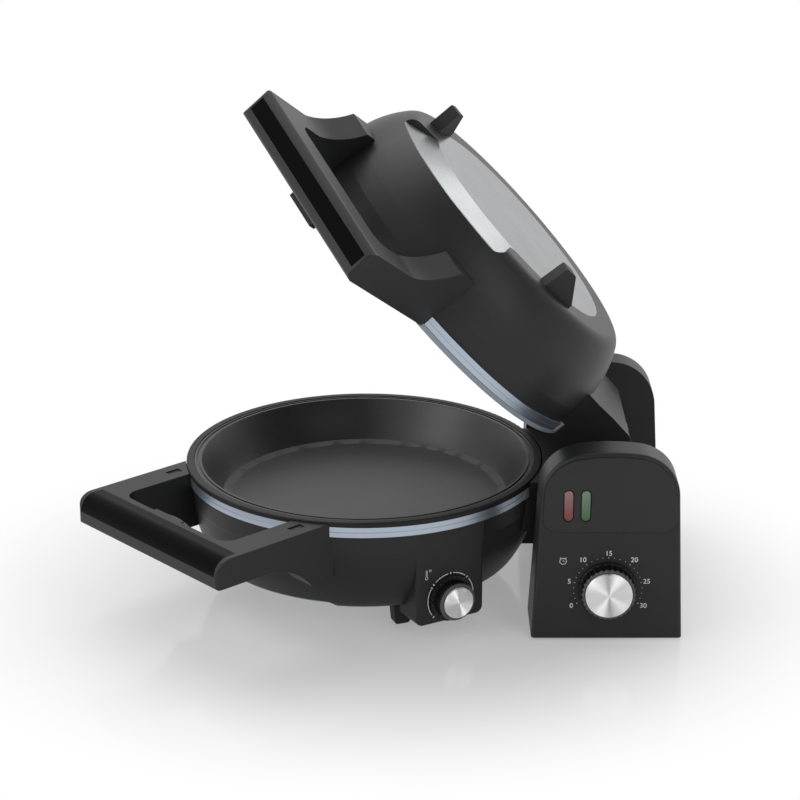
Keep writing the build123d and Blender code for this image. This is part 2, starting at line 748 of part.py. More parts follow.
def half_pieces(prefix, is_lid):
    grip = lid_grip_solid() if is_lid else lower_grip_solid()
    return {
        prefix + "_shell": half_shell(is_lid),
        prefix + "_handle_grip": HANDLE * grip,
        prefix + "_rim_ring": PAN * rim_ring(),
        prefix + "_plate": PAN * plate(),
        prefix + "_trim_ring": trimmed_trim(is_lid),
        prefix + "_ring_clips": [PAN * piece for piece in clips()],
        prefix + "_heating_element": PAN * heating_element(),
        prefix + "_reflector": PAN * reflector(),
        prefix + "_disc": PAN * disc(),
        prefix + "_feet": [PAN * piece for piece in feet()],
        prefix + "_bushes": bushes(is_lid),
        prefix + "_neck_cover": neck_cover(is_lid),
        prefix + "_plate_screws": [PAN * piece for piece in plate_screws()],
    }


# Base towers; side is -1 for the front one and 1 for the rear one
def tower_y(side, distance):
    return MID_Y + side * distance


def between(side, near, far):
    return sorted((tower_y(side, near), tower_y(side, far)))


def tower_face():
    shoulder = TOWER_TOP - (CROWN_R - math.sqrt(CROWN_R ** 2 - TOWER_HALF_TOP ** 2))
    sides = Polyline(
        (-TOWER_HALF_TOP, shoulder), (-TOWER_HALF_BOTTOM, BASE_BOTTOM),
        (TOWER_HALF_BOTTOM, BASE_BOTTOM), (TOWER_HALF_TOP, shoulder),
    )
    crown = ThreePointArc((TOWER_HALF_TOP, shoulder), (0, TOWER_TOP), (-TOWER_HALF_TOP, shoulder))
    face = make_face(sides + crown)
    return Pos(TOWER_X, 0) * fillet(face.vertices().group_by(Axis.Y)[-1], ARCH_CORNER_R)


def tower_side(side, wall):
    """The tower seen from the side: an upright outer face and a leaning inner one."""
    bottom = BASE_BOTTOM - 1.0
    lean = (TOWER_IN_TOP - TOWER_IN_BOTTOM) / (TOWER_TOP - BASE_BOTTOM)
    points = [
        (tower_y(side, TOWER_OUT - wall), bottom),
        (tower_y(side, TOWER_OUT - wall), TOWER_TOP + 1),
        (tower_y(side, TOWER_IN_BOTTOM + lean * (TOWER_TOP + 1 - BASE_BOTTOM) + wall), TOWER_TOP + 1),
        (tower_y(side, TOWER_IN_BOTTOM - lean + wall), bottom),
    ]
    return extrude(Plane.YZ * shape(points), amount=200, both=True)


def tower_room(side):
    low, high = between(side, 0, TOWER_OUT)
    face = offset(tower_face(), amount=-TOWER_WALL)
    face += Pos(TOWER_X, BASE_BOTTOM) * Rectangle(2 * (TOWER_HALF_BOTTOM - TOWER_WALL), 2 * TOWER_WALL + 2)
    return along_y(face, low, high) & tower_side(side, TOWER_WALL)


def bridge_beam():
    low = tower_y(-1, TOWER_IN_BOTTOM + BRIDGE_PLUG)
    high = tower_y(1, TOWER_IN_BOTTOM + BRIDGE_PLUG)
    beam = block(BRIDGE_X[0], BRIDGE_X[1], low, high, BASE_BOTTOM + BOTTOM_PLATE, -BRIDGE_TOP)
    return fillet(beam.edges().filter_by(Axis.Y).group_by(Axis.Z)[-1], 4.0)


def bridge():
    x = (BRIDGE_X[0] + BRIDGE_X[1]) / 2
    z = (BASE_BOTTOM + BOTTOM_PLATE - BRIDGE_TOP) / 2
    return bridge_beam() - rod(BRIDGE_WIRE_R, -200, 200, x, z)


def tower_screw_places(side):
    y = tower_y(side, (TOWER_OUT + TOWER_IN_BOTTOM) / 2 + 4.0)
    return [(TOWER_X - POST_X, y), (TOWER_X + POST_X, y)]


def tower(side):
    low, high = between(side, TOWER_IN_BOTTOM - 2, TOWER_OUT)
    blank = along_y(tower_face(), low, high) & tower_side(side, 0)
    outer = blank.faces().sort_by(Axis.Y)[0 if side < 0 else -1]
    arch = outer.edges().filter_by(lambda e: e.center().Z > BASE_BOTTOM + 1)
    blank = fillet(arch, TOWER_EDGE_R)
    solid = blank - tower_room(side)
    end = -PIVOT_BOSS_END if side < 0 else PIVOT_BOSS_END
    inside = tower_y(side, BOSS_INSIDE)
    solid += rod(PIVOT_BOSS_R, min(end, inside), max(end, inside))
    solid -= rod(PIN_R + RUN_CLEAR, min(end, inside) - 1, max(end, inside) + 1)
    top = BASE_BOTTOM + 34
    for x, y in tower_screw_places(side):
        solid += post(5.0, BASE_BOTTOM + BOTTOM_PLATE, top, x, y) & blank
        solid -= post(SCREW_R, BASE_BOTTOM, BASE_BOTTOM + 14, x, y)
    return solid - bridge_beam()


def bottom_plate(side):
    low, high = between(side, 0, TOWER_OUT)
    slab = block(TOWER_X - 80, TOWER_X + 80, low, high, BASE_BOTTOM, BASE_BOTTOM + BOTTOM_PLATE)
    solid = slab & tower_room(side)
    for x, y in tower_screw_places(side):
        solid -= post(SCREW_R + 0.2, BASE_BOTTOM - 1, BASE_BOTTOM + 5, x, y)
        solid -= post(SCREW_HEAD_R + 0.3, BASE_BOTTOM - 1, BASE_BOTTOM + 1.2, x, y)
    return solid


def bottom_screws():
    parts = []
    for side in (-1, 1):
        for x, y in tower_screw_places(side):
            head = post(SCREW_HEAD_R, BASE_BOTTOM - 0.8, BASE_BOTTOM + 1.2, x, y)
            parts.append(head + post(SCREW_R, BASE_BOTTOM + 1.2, BASE_BOTTOM + 13, x, y))
    return parts


def base_feet():
    parts = []
    for side in (-1, 1):
        y = tower_y(side, TOWER_OUT - 14.0)
        for x in (TOWER_X - 32.0, TOWER_X + 32.0):
            pad = post(FOOT_PAD_R, -AXIS_HEIGHT, BASE_BOTTOM, x, y)
            parts.append(fillet(pad.edges().group_by(Axis.Z)[0], 0.6))
    return parts


def lamp_panel():
    face = offset(tower_face(), amount=-PANEL_MARGIN)
    face &= Pos(TOWER_X, -PANEL_BOTTOM + 100) * Rectangle(200, 200)
    face = fillet(face.vertices().group_by(Axis.Y)[0], PANEL_CORNER_R)
    outer = tower_y(-1, TOWER_OUT)
    solid = along_y(face, outer - PANEL_PROUD, outer + PANEL_SUNK)
    front = solid.faces().sort_by(Axis.Y)[0]
    return fillet(front.edges(), 0.5)


def lens(x):
    outer = tower_y(-1, TOWER_OUT)
    face = Pos(TOWER_X + x, LENS_Z) * RectangleRounded(LENS[0], LENS[1], 0.8)
    return along_y(face, outer - PANEL_PROUD - LENS_PROUD, outer + LENS_DEPTH)


def lamps():
    y = tower_y(-1, TOWER_OUT - LENS_DEPTH - LAMP_R - 0.6)
    half = 9.0
    parts = []
    for x in (RED_LENS_X, GREEN_LENS_X):
        bulb = post(LAMP_R, LENS_Z - half, LENS_Z + half, TOWER_X + x, y)
        leg = block(TOWER_X + x - 0.5, TOWER_X + x + 0.5, y, tower_y(-1, TOWER_OUT - BOARD_IN),
                    LENS_Z - half, LENS_Z - half + 1)
        parts.append(bulb + leg)
    return parts


def board_posts():
    y0, y1 = tower_y(-1, TOWER_OUT - 1.0), tower_y(-1, TOWER_OUT - BOARD_IN)
    middle = TOWER_X + (RED_LENS_X + GREEN_LENS_X) / 2
    parts = []
    for x, z in ((middle, LENS_Z + 15.0), (middle, LENS_Z - 15.0)):
        parts.append(rod(2.5, y0, y1, x, z))
    return parts


def lamp_board():
    wide, thick, high = BOARD
    x = TOWER_X + (RED_LENS_X + GREEN_LENS_X) / 2
    y = tower_y(-1, TOWER_OUT - BOARD_IN)
    return block(x - wide / 2 + 4, x + wide / 2, y, y + thick, LENS_Z - high / 2, LENS_Z + high / 2)


def timer_mechanism():
    wide, deep, high = TIMER_BODY
    y = tower_y(-1, TOWER_OUT - TOWER_WALL)
    solid = block(TOWER_X - wide / 2, TOWER_X + wide / 2, y, y + deep, TIMER_Z - high / 2, TIMER_Z + high / 2)
    solid = fillet(solid.edges().filter_by(Axis.Y), 3.0)
    return solid - rod(SHAFT_R + 0.08, y - 1, y + SHAFT_IN, TOWER_X, TIMER_Z)


def timer_bell():
    y = tower_y(-1, TOWER_OUT - TOWER_WALL) + TIMER_BODY[1]
    cup = rod(BELL_R, y + 1, y + BELL_DEPTH, TOWER_X, TIMER_Z)
    cup -= rod(BELL_R - BELL_SHEET, y, y + BELL_DEPTH - BELL_SHEET, TOWER_X, TIMER_Z)
    return cup + rod(2.0, y, y + BELL_DEPTH - BELL_SHEET, TOWER_X, TIMER_Z)


def hinge_pin():
    low = tower_y(-1, BOSS_INSIDE + NUT_THICK + PIN_PAST_NUT)
    high = tower_y(1, BOSS_INSIDE + NUT_THICK + PIN_PAST_NUT)
    return tube(PIN_R, PIN_BORE_R, low, high)


def pin_nuts():
    parts = []
    for side in (-1, 1):
        low, high = between(side, BOSS_INSIDE, BOSS_INSIDE + NUT_THICK)
        nut = along_y(RegularPolygon(NUT_R, 6), low, high)
        parts.append(nut - rod(PIN_R, low - 1, high + 1))
    return parts


def pivot_wires():
    low = tower_y(-1, BOSS_INSIDE + NUT_THICK + PIN_PAST_NUT + 3)
    high = tower_y(1, BOSS_INSIDE + NUT_THICK + PIN_PAST_NUT + 3)
    parts = []
    for i in range(3):
        x, z = at_angle(WIRE_CIRCLE_R, 90 + 120 * i)
        parts.append(rod(WIRE_R, low, high, x, z))
    return parts


def terminal_block():
    wide, deep, high = TERMINAL
    y = tower_y(1, TOWER_OUT - TOWER_WALL - 6)
    bottom = BASE_BOTTOM + BOTTOM_PLATE
    solid = block(TOWER_X - wide / 2, TOWER_X + wide / 2, y - deep, y, bottom, bottom + high)
    for i in (-1, 0, 1):
        solid -= post(2.5, bottom + high - 4, bottom + high + 1, TOWER_X + 12 * i, y - deep / 2)
    return solid


def cord_gland():
    face = tower_y(1, TOWER_OUT)
    x, z = TOWER_X + 34.0, GLAND_Z + 12.0
    solid = rod(GLAND_R, face - TOWER_WALL - 4, face + GLAND_OUT, x, z)
    solid += rod(GLAND_FLANGE_R, face, face + 2, x, z)
    solid += rod(GLAND_R + 1.5, face - TOWER_WALL - 4, face - TOWER_WALL, x, z)
    return solid - rod(GLAND_BORE_R, face - 20, face + 20, x, z)


def front_tower():
    solid = tower(-1)
    for piece in board_posts():
        solid += piece
    for x in (RED_LENS_X, GREEN_LENS_X):
        solid -= lens(x)
    face = tower_y(-1, TOWER_OUT)
    solid -= rod(SHAFT_R + 0.6, face - 1, face + TOWER_WALL + 0.5, TOWER_X, TIMER_Z)
    return solid - lamp_panel()


def rear_tower():
    face = tower_y(1, TOWER_OUT)
    hole = rod(GLAND_R, face - 12, face + 1, TOWER_X + 34.0, GLAND_Z + 12.0)
    return tower(1) - hole


def base_pieces():
    return {
        "base_bridge": bridge(),
        "front_tower_shell": front_tower(),
        "front_lamp_panel": lamp_panel() - lens(RED_LENS_X) - lens(GREEN_LENS_X),
        "red_lens": lens(RED_LENS_X),
        "green_lens": lens(GREEN_LENS_X),
        "lamp_board": lamp_board(),
        "neon_lamps": lamps(),
        "timer_mechanism": timer_mechanism(),
        "timer_bell": timer_bell(),
        "front_bottom_plate": bottom_plate(-1),
        "rear_tower_shell": rear_tower(),
        "rear_bottom_plate": bottom_plate(1),
        "base_feet": base_feet(),
        "bottom_screws": bottom_screws(),
        "hinge_pin": hinge_pin(),
        "pin_nuts": pin_nuts(),
        "pivot_wires": pivot_wires(),
        "cord_gland": cord_gland(),
        "terminal_block": terminal_block(),
        "timer_shaft": TIMER_FRAME * knob_shaft(TIMER_KNOB, TOWER_WALL),
        "timer_knob": TIMER_FRAME * knob_body(TIMER_KNOB),
        "timer_knob_cap": TIMER_FRAME * knob_cap(TIMER_KNOB),
    }


def lower_only():
    return {
        "thermostat": BOSS * thermostat(),
        "latch_catch": HANDLE * latch_catch(),
        "thermostat_shaft": THERMO_FRAME * knob_shaft(THERMO_KNOB, BOSS_WALL),
        "thermostat_knob": THERMO_FRAME * knob_body(THERMO_KNOB),
        "thermostat_knob_cap": THERMO_FRAME * knob_cap(THERMO_KNOB),
    }


def upper_only():
    depth = REFLECTOR_DEPTH + REFLECTOR_SHEET
    fuse = rod(3.0, -10, 10, 40, -depth - 3.0)
    return {"upper_thermal_fuse": PAN * fuse, "lid_latch": HANDLE * lid_latch()}


def all_pieces():
    pieces = base_pieces()
    pieces.update(half_pieces("lower", False))
    pieces.update(lower_only())
    lid = half_pieces("upper", True)
    lid.update(upper_only())
    for name, item in lid.items():
        group = item if isinstance(item, list) else [item]
        moved = [to_lid(solid) for solid in group]
        pieces[name] = moved if isinstance(item, list) else moved[0]
    return pieces


def as_solids(item):
    group = item if isinstance(item, list) else [item]
    solids = []
    for piece in group:
        solids += list(piece.solids())
    return solids


def main():
    os.makedirs("parts", exist_ok=True)
    solids = {name: as_solids(item) for name, item in all_pieces().items()}
    box = Compound([solid for group in solids.values() for solid in group]).bounding_box()
    shift = Pos(-(box.min.X + box.max.X) / 2, -(box.min.Y + box.max.Y) / 2, -box.min.Z)
    print("hinge axis at", [round(v, 3) for v in shift.position])
    print("box", [round(v, 2) for v in (box.size.X, box.size.Y, box.size.Z)])
    for name, group in solids.items():
        moved = [shift * solid for solid in group]
        whole = moved[0] if len(moved) == 1 else Compound(children=moved)
        whole.label = name
        export_step(whole, "parts/" + name + ".step")


if __name__ == "__main__":
    main()
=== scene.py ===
"""Finishes, printed scales and lamps for the two-sided tortilla maker, and a small studio round it."""

import json
import math

import bmesh
import bpy
from bpy.props import FloatProperty, FloatVectorProperty, IntProperty, PointerProperty
from bpy.types import NodeSocket, Operator, Panel, PropertyGroup
from mathutils import Matrix, Vector


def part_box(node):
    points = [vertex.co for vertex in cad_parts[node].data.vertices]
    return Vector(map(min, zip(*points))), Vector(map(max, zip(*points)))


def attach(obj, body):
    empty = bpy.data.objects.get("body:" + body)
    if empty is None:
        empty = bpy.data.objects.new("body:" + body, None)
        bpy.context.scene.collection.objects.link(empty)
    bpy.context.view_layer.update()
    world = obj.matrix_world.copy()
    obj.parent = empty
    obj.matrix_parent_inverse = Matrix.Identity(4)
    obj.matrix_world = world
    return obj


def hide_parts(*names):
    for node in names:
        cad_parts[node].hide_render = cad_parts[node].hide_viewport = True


bl_info = {
    "name": "Tortilla Maker Dressing",
    "version": (1, 0, 0),
    "blender": (4, 5, 0),
    "location": "3D View > Sidebar > Tortilla maker",
    "description": "Finishes, printed scales and lamps for a two-sided tortilla maker",
    "category": "Object",
}

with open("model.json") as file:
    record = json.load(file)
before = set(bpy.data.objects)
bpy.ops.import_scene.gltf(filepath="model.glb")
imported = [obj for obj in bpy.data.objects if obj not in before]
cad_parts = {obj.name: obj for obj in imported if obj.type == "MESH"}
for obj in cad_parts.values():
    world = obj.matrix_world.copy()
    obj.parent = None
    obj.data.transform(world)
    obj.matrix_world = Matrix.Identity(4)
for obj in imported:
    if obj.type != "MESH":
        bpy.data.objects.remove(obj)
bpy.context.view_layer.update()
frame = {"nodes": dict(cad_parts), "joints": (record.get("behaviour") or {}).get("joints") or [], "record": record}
NODES = frame["nodes"]
BODIES = frame["record"]["behaviour"]["bodies"]
BODY_OF = {name: body for body, names in BODIES.items() for name in names}
SLOT_OF = {part["node"]: part["material_slot"] for part in frame["record"]["subparts"]}
JOINTS = {joint["name"]: joint for joint in frame["joints"]}

X, Y, Z = Vector((1, 0, 0)), Vector((0, 1, 0)), Vector((0, 0, 1))
FRONT = -Y
HINGE = Vector(JOINTS["flip_hinge"]["pos_m"])
TIMER = Vector(JOINTS["timer_turn"]["pos_m"])
DIAL = Vector(JOINTS["thermostat_turn"]["pos_m"])
DIAL_OUT = Vector(JOINTS["thermostat_turn"]["axis"]).normalized()
LID_ANGLE = math.radians(-JOINTS["lid_hinge"]["range_deg"][0])
PAN = HINGE + Vector((-0.176, 0, 0))
LID_TURN = Matrix.Rotation(LID_ANGLE, 3, "Y")
LID_UP = LID_TURN @ Z
LID_PAN = HINGE + LID_TURN @ Vector((-0.176, 0, 0))

# The timer's print: angles in degrees from the dial's right, counted upwards.
ZERO_ANGLE = 207.0
MINUTES = 30
MINUTE_STEP = -234.0 / MINUTES
DOTS_PER_FIVE = 4
FIVE_MINUTE_MARK = {"length": 0.0012, "width": 0.0007}
DIGIT_SHIFT = 0.0016  # numbers between the four main directions stand further out by this
PRINT_THICK, PRINT_WEIGHT = 0.00006, 0.00003
CLOCK_SIGN = (-0.0332, 0.0222, 0)

# The thermostat's print: angles in degrees clockwise from the top.
HEAT_STOPS = (-132, -48, 0, 46, 132)
HEAT_GAP = 6.5
HEAT_TICK = 0.0009
HEAT_ARROW = ((-0.0013, -56), (0.0002, -61.5), (0.0008, -54.5))
THERMOMETER_SIGN = (-0.0205, 0.0195, 0)

# The knobs: radius of flange, wall and cap, number and depth of the scallops, radius of the flange marks.
KNOB_SHAPES = {
    "timer": (0.0215, 0.0200, 0.0171, 30, 0.0009, 0.0207),
    "thermostat": (0.0180, 0.0148, 0.0119, 44, 0.0005, 0.0166),
}
FLANGE_LEVELS = (0.0006, 0.0024)
SKIRT_TOP = 0.0112
GREY_EDGE_DEPTH = 0.0014
CAP_LEVELS = (0.0106, 0.0130)
FLANGE_MARK = {"length": 0.0007, "width": 0.0005, "thickness": 0.00012}

# The tower's arched face, about the hinge axis: half widths, heights, and the radii of crown and shoulder.
ARCH_HALF_TOP, ARCH_HALF_BOTTOM = 0.0495, 0.0555
ARCH_TOP, ARCH_FOOT = 0.049, -0.097
ARCH_CROWN, ARCH_BEND = 0.160, 0.034

# The lamp panel and its lenses, in metres out of the tower's face.
PANEL_BOTTOM, PANEL_CORNER = -0.012, 0.011
PANEL_BACK, PANEL_EDGE = -0.0009, 0.0005
SLOT_FLOOR, SLOT_FLOOR_LAP, SLOT_FLOOR_HALF = -0.0006, 0.0004, 0.00015
LENS_ROOT, LENS_SHOULDER, LENS_CREST = -0.0045, -0.0003, 0.0006

# The neck covers' screws: the lower cover's slope, and a point on its ridge from the hinge.
COVER_SLOPE = Vector((0.89043, 0, 0.45511))
COVER_RIDGE = Vector((-0.010, 0, -0.040))
SCREWS_DOWN_SLOPE = {"lower": 0.0155, "upper": 0.024}
SCREW_SPACING, SCREW_SUNK = 0.056, 0.0005

# Where the lid's rim ring turns from black to a painted reflection in silver, from the plate's axis.
RIM_REFLECTION_RADIUS = 0.1362

# Corners of a mesh that lie closer than this are one corner.
MERGE = 1.5e-6

# The studio. The floor is pure white from WHITE_FAR outwards and shaded inside WHITE_NEAR.
FLOOR_HALF = 9.0
WHITE_CENTRE, WHITE_SQUEEZE = (0.01, 0, 0), (0.88, 1, 1)
WHITE_NEAR, WHITE_FAR, WHITE_LEAST = 0.14, 0.34, 0.3
# Two upright dark bands of the room in front, which bright metal mirrors.
SECOND_BAND = (0.5, 0.866, 0)
BAND_DARK, BAND_LIGHT = 0.1, 0.24
CAMERA_FROM_HINGE = Vector((-0.1486, -1.7605, 0.6917))
SENSOR_WIDTH = 36.0
LIGHT_AIM = Vector((0.03, 0.02, 0.16))
# Each light: name, the setting for its power, place, width and height.
LIGHTS = (
    ("top_light", "key", (-0.35, 0.55, 1.55), (1.5, 1.1)),
    ("left_light", "fill", (-1.55, -0.75, 0.75), (0.9, 1.2)),
    ("right_light", "front", (1.05, -1.5, 0.8), (0.7, 1.2)),
    ("rear_light", "rear", (1.1, 1.4, 0.95), (0.75, 0.6)),
)


# Sizes and colours that a user would change

def length_setting(name, description, default, **limits):
    return FloatProperty(name=name, description=description, default=default, unit="LENGTH", **limits)


def number_setting(name, description, default, **kind):
    return FloatProperty(name=name, description=description, default=default, **kind)


def colour_setting(name, description, default):
    return FloatVectorProperty(
        name=name, description=description, subtype="COLOR", size=3, default=default, min=0, max=1)


class PanelSizes(PropertyGroup):
    margin: length_setting(
        "Panel margin", "Border of tower left round the lamp panel", 0.0029, min=0.001, max=0.008)
    proud: length_setting(
        "Panel height", "How far the lamp panel stands out of the tower", 0.0016, min=0.0004, max=0.002)
    lens_width: length_setting("Lens width", "Width of each lamp lens", 0.0064)
    lens_height: length_setting("Lens height", "Height of each lamp lens with its round ends", 0.0235)
    lens_gap: length_setting("Lens gap", "Dark gap between a lens and the panel", 0.00055)


class PrintSizes(PropertyGroup):
    digit_size: length_setting("Digit size", "Type size of the timer's numbers", 0.0054)
    digit_circle: length_setting("Number circle", "Radius on which the timer's numbers stand", 0.0283)
    dot_circle: length_setting("Dot circle", "Radius of the ring of dots round the timer", 0.025)
    dot_radius: length_setting("Dot radius", "Radius of one dot", 0.00027)
    arc_circle: length_setting("Heat arc", "Radius of the arc round the thermostat dial", 0.0193)
    arc_width: length_setting("Heat arc width", "Width of the thermostat's printed arc", 0.00062)
    flange_marks: IntProperty(
        name="Flange marks", description="Raised marks round the flange of each knob",
        default=24, min=8, max=60)


class FinishColours(PropertyGroup):
    moulding: colour_setting("Mouldings", "Satin charcoal of shells and towers", (0.0195, 0.0197, 0.02))
    panel: colour_setting("Lamp panel", "Satin charcoal of the lamp panel", (0.021, 0.0212, 0.0216))
    grip: colour_setting("Grips", "Gloss black of the handle covers", (0.0015, 0.0015, 0.0016))
    coating: colour_setting("Non-stick coating", "Dark grey of the baking plates", (0.022, 0.022, 0.023))
    trim: colour_setting("Trim band", "Bluish silver of the bands", (0.42, 0.475, 0.55))
    disc: colour_setting("Discs", "Silver of the large discs", (0.285, 0.293, 0.3))
    cap: colour_setting("Knob caps", "Bright aluminium of the knob caps", (0.98, 0.98, 0.985))
    print_ink: colour_setting("Ink", "Printed numbers, dots and signs", (0.8, 0.81, 0.82))
    red_lens: colour_setting("Red lens", "Colour of the power lamp's lens", (0.2, 0.018, 0.016))
    green_lens: colour_setting("Green lens", "Colour of the heat lamp's lens", (0.022, 0.12, 0.035))


class StudioSettings(PropertyGroup):
    lens: number_setting("Camera lens", "Focal length in millimetres", 110.25)
    pitch: number_setting(
        "Camera tilt", "How far the camera looks down", math.radians(20.2), subtype="ANGLE")
    key: number_setting("Top light", "Power of the soft light above, in watts", 9.5)
    fill: number_setting("Side light", "Power of the light at the left, in watts", 9.0)
    front: number_setting("Front light", "Power of the light at the front right, in watts", 5.5)
    rear: number_setting("Rear light", "Power of the low light behind, in watts", 2.6)
    sky: number_setting("Surrounding light", "Strength of the even light all round", 0.34)
    floor: colour_setting("Floor", "Colour of the floor", (0.86, 0.86, 0.87))


# Small helpers for nodes, shapes and pieces

def add(tree, kind, inputs=None, **settings):
    """A node with its settings, its plain values, and links from any socket given as a value."""
    made = tree.nodes.new(kind)
    for key, value in settings.items():
        setattr(made, key, value)
    for key, value in (inputs or {}).items():
        if isinstance(value, NodeSocket):
            tree.links.new(value, made.inputs[key])
        else:
            made.inputs[key].default_value = value
    return made


def maths(tree, operation, first, second=0.5):
    return add(tree, "ShaderNodeMath", {0: first, 1: second}, operation=operation).outputs[0]


def vector_maths(tree, operation, first, second=None, out="Vector"):
    given = {0: first} if second is None else {0: first, 1: second}
    return add(tree, "ShaderNodeVectorMath", given, operation=operation).outputs[out]


def object_place(tree):
    """The point on the object's own surface, which turns with the object."""
    return add(tree, "ShaderNodeTexCoord").outputs["Object"]


def round_axis(tree, centre, axis):
    """A vector round an axis, as long as the surface's distance from it."""
    arm = vector_maths(tree, "SUBTRACT", object_place(tree), centre)
    return vector_maths(tree, "CROSS_PRODUCT", arm, axis)


def axis_distance(tree, centre, axis):
    return vector_maths(tree, "LENGTH", round_axis(tree, centre, axis), out="Value")


def mapped(tree, value, low, high, to_low=0.0, to_high=1.0, **settings):
    """A value from between low and high, spread from to_low to to_high and held at both ends."""
    given = {"Value": value, "From Min": low, "From Max": high, "To Min": to_low, "To Max": to_high}
    return add(tree, "ShaderNodeMapRange", given, **settings).outputs[0]


def noise(tree, place, scale, detail, **more):
    return add(tree, "ShaderNodeTexNoise", {
        "Vector": place, "Scale": scale, "Detail": detail, **more}).outputs["Fac"]


def mixed(tree, share, first, second, **settings):
    """The first colour at a share of 0, the second at 1."""
    given = {0: share, 6: first, 7: second}
    return add(tree, "ShaderNodeMix", given, data_type="RGBA", **settings).outputs[2]


SOCKETS = {int: "NodeSocketInt", float: "NodeSocketFloat", Vector: "NodeSocketVector"}


def group_tree(name, inputs, outputs, kind="ShaderNodeTree", result="NodeSocketFloat"):
    """A node group. Each input's kind follows from its value; one without a value takes a material."""
    tree = bpy.data.node_groups.new(name, kind)
    for label in outputs:
        tree.interface.new_socket(name=label, in_out="OUTPUT", socket_type=result)
    for label, value in inputs.items():
        socket_type = SOCKETS.get(type(value), "NodeSocketMaterial")
        socket = tree.interface.new_socket(name=label, in_out="INPUT", socket_type=socket_type)
        if value is not None:
            socket.default_value = value
    return tree, tree.nodes.new("NodeGroupInput").outputs, tree.nodes.new("NodeGroupOutput").inputs


def moulded_grain_group():
    """Fine spark-eroded grain, with broad soft changes of gloss and shade."""
    tree, given, result = group_tree("Moulded grain", {
        "Grain": 2400.0, "Roughness": 0.45, "Spread": 0.1}, ("Height", "Roughness", "Shade"))
    place = object_place(tree)
    fine = noise(tree, place, given["Grain"], 2.0)
    swing = maths(tree, "SUBTRACT", noise(tree, place, 19.0, 3.0))
    gloss = maths(tree, "MULTIPLY", swing, given["Spread"])
    tree.links.new(fine, result["Height"])
    tree.links.new(maths(tree, "ADD", gloss, given["Roughness"]), result["Roughness"])
    speck = maths(tree, "MULTIPLY", maths(tree, "SUBTRACT", fine), 0.35)
    shade = maths(tree, "ADD", maths(tree, "MULTIPLY", swing, 0.3), 1.0)
    tree.links.new(maths(tree, "ADD", shade, speck), result["Shade"])
    return tree


def turned_lines_group():
    """Fine uneven circles about an axis, as a lathe or a spinning brush leaves."""
    tree, given, result = group_tree("Turned lines", {
        "Centre": Vector(), "Axis": Z, "Pitch": 0.0004, "Roughness": 0.3, "Spread": 0.15},
        ("Height", "Roughness", "Shade"))
    radius = axis_distance(tree, given["Centre"], given["Axis"])
    steps = maths(tree, "DIVIDE", radius, given["Pitch"])
    lines = add(tree, "ShaderNodeTexNoise", {"W": steps, "Scale": 1.0, "Detail": 2.0}, noise_dimensions="1D")
    swing = maths(tree, "SUBTRACT", lines.outputs["Fac"])
    both = maths(tree, "ADD", swing, maths(tree, "SUBTRACT", noise(tree, object_place(tree), 26.0, 2.0)))
    tree.links.new(lines.outputs["Fac"], result["Height"])
    rough = maths(tree, "ADD", maths(tree, "MULTIPLY", both, given["Spread"]), given["Roughness"])
    tree.links.new(rough, result["Roughness"])
    tree.links.new(maths(tree, "ADD", maths(tree, "MULTIPLY", swing, 0.25), 1.0), result["Shade"])
    return tree


def handling_group():
    """Faint smears that hands and cloths leave on a polished surface."""
    tree, given, result = group_tree("Handling smears", {"Roughness": 0.1, "Amount": 0.12}, ("Roughness",))
    smear = noise(tree, object_place(tree), 34.0, 5.0, Distortion=1.2)
    extra = maths(tree, "MULTIPLY", mapped(tree, smear, 0.45, 0.75), given["Amount"])
    tree.links.new(maths(tree, "ADD", extra, given["Roughness"]), result["Roughness"])
    return tree


def group_node(tree, maker, name, inputs):
    """One use of a shared group, which is built the first time it is asked for."""
    shared = bpy.data.node_groups.get(name) or maker()
    made = tree.nodes.new("ShaderNodeGroup")
    made.node_tree = shared
    for label, value in inputs.items():
        made.inputs[label].default_value = value
    return made.outputs


def blank_finish(name, colour, **plain):
    """A material with a Principled shader and its plain values."""
    finish = bpy.data.materials.new(name)
    finish.use_nodes = True
    shader = finish.node_tree.nodes["Principled BSDF"]
    shader.inputs["Base Color"].default_value = (*colour, 1.0)
    for label, value in plain.items():
        shader.inputs[label.replace("_", " ")].default_value = value
    return finish, finish.node_tree, shader


def tint(tree, shader, colour, shade):
    """The base colour, made lighter and darker by a shade."""
    plain = colour if isinstance(colour, NodeSocket) else (*colour, 1.0)
    tree.links.new(mixed(tree, 1.0, plain, shade, blend_type="MULTIPLY"), shader.inputs["Base Color"])


def relief(tree, shader, height, depth, strength=1.0):
    bump = add(tree, "ShaderNodeBump", {"Height": height, "Distance": depth, "Strength": strength})
    tree.links.new(bump.outputs[0], shader.inputs["Normal"])


def surface(tree, shader, made, colour, shade, depth):
    """Gloss, shade and fine relief from what a shared group gives."""
    tree.links.new(made["Roughness"], shader.inputs["Roughness"])
    tint(tree, shader, colour, shade)
    relief(tree, shader, made["Height"], depth)


def moulded(name, colour, roughness, grain=2400.0, depth=0.00003, spread=0.1, **plain):
    finish, tree, shader = blank_finish(name, colour, **plain)
    grained = group_node(tree, moulded_grain_group, "Moulded grain",
                         {"Grain": grain, "Roughness": roughness, "Spread": spread})
    surface(tree, shader, grained, colour, grained["Shade"], depth)
    return finish


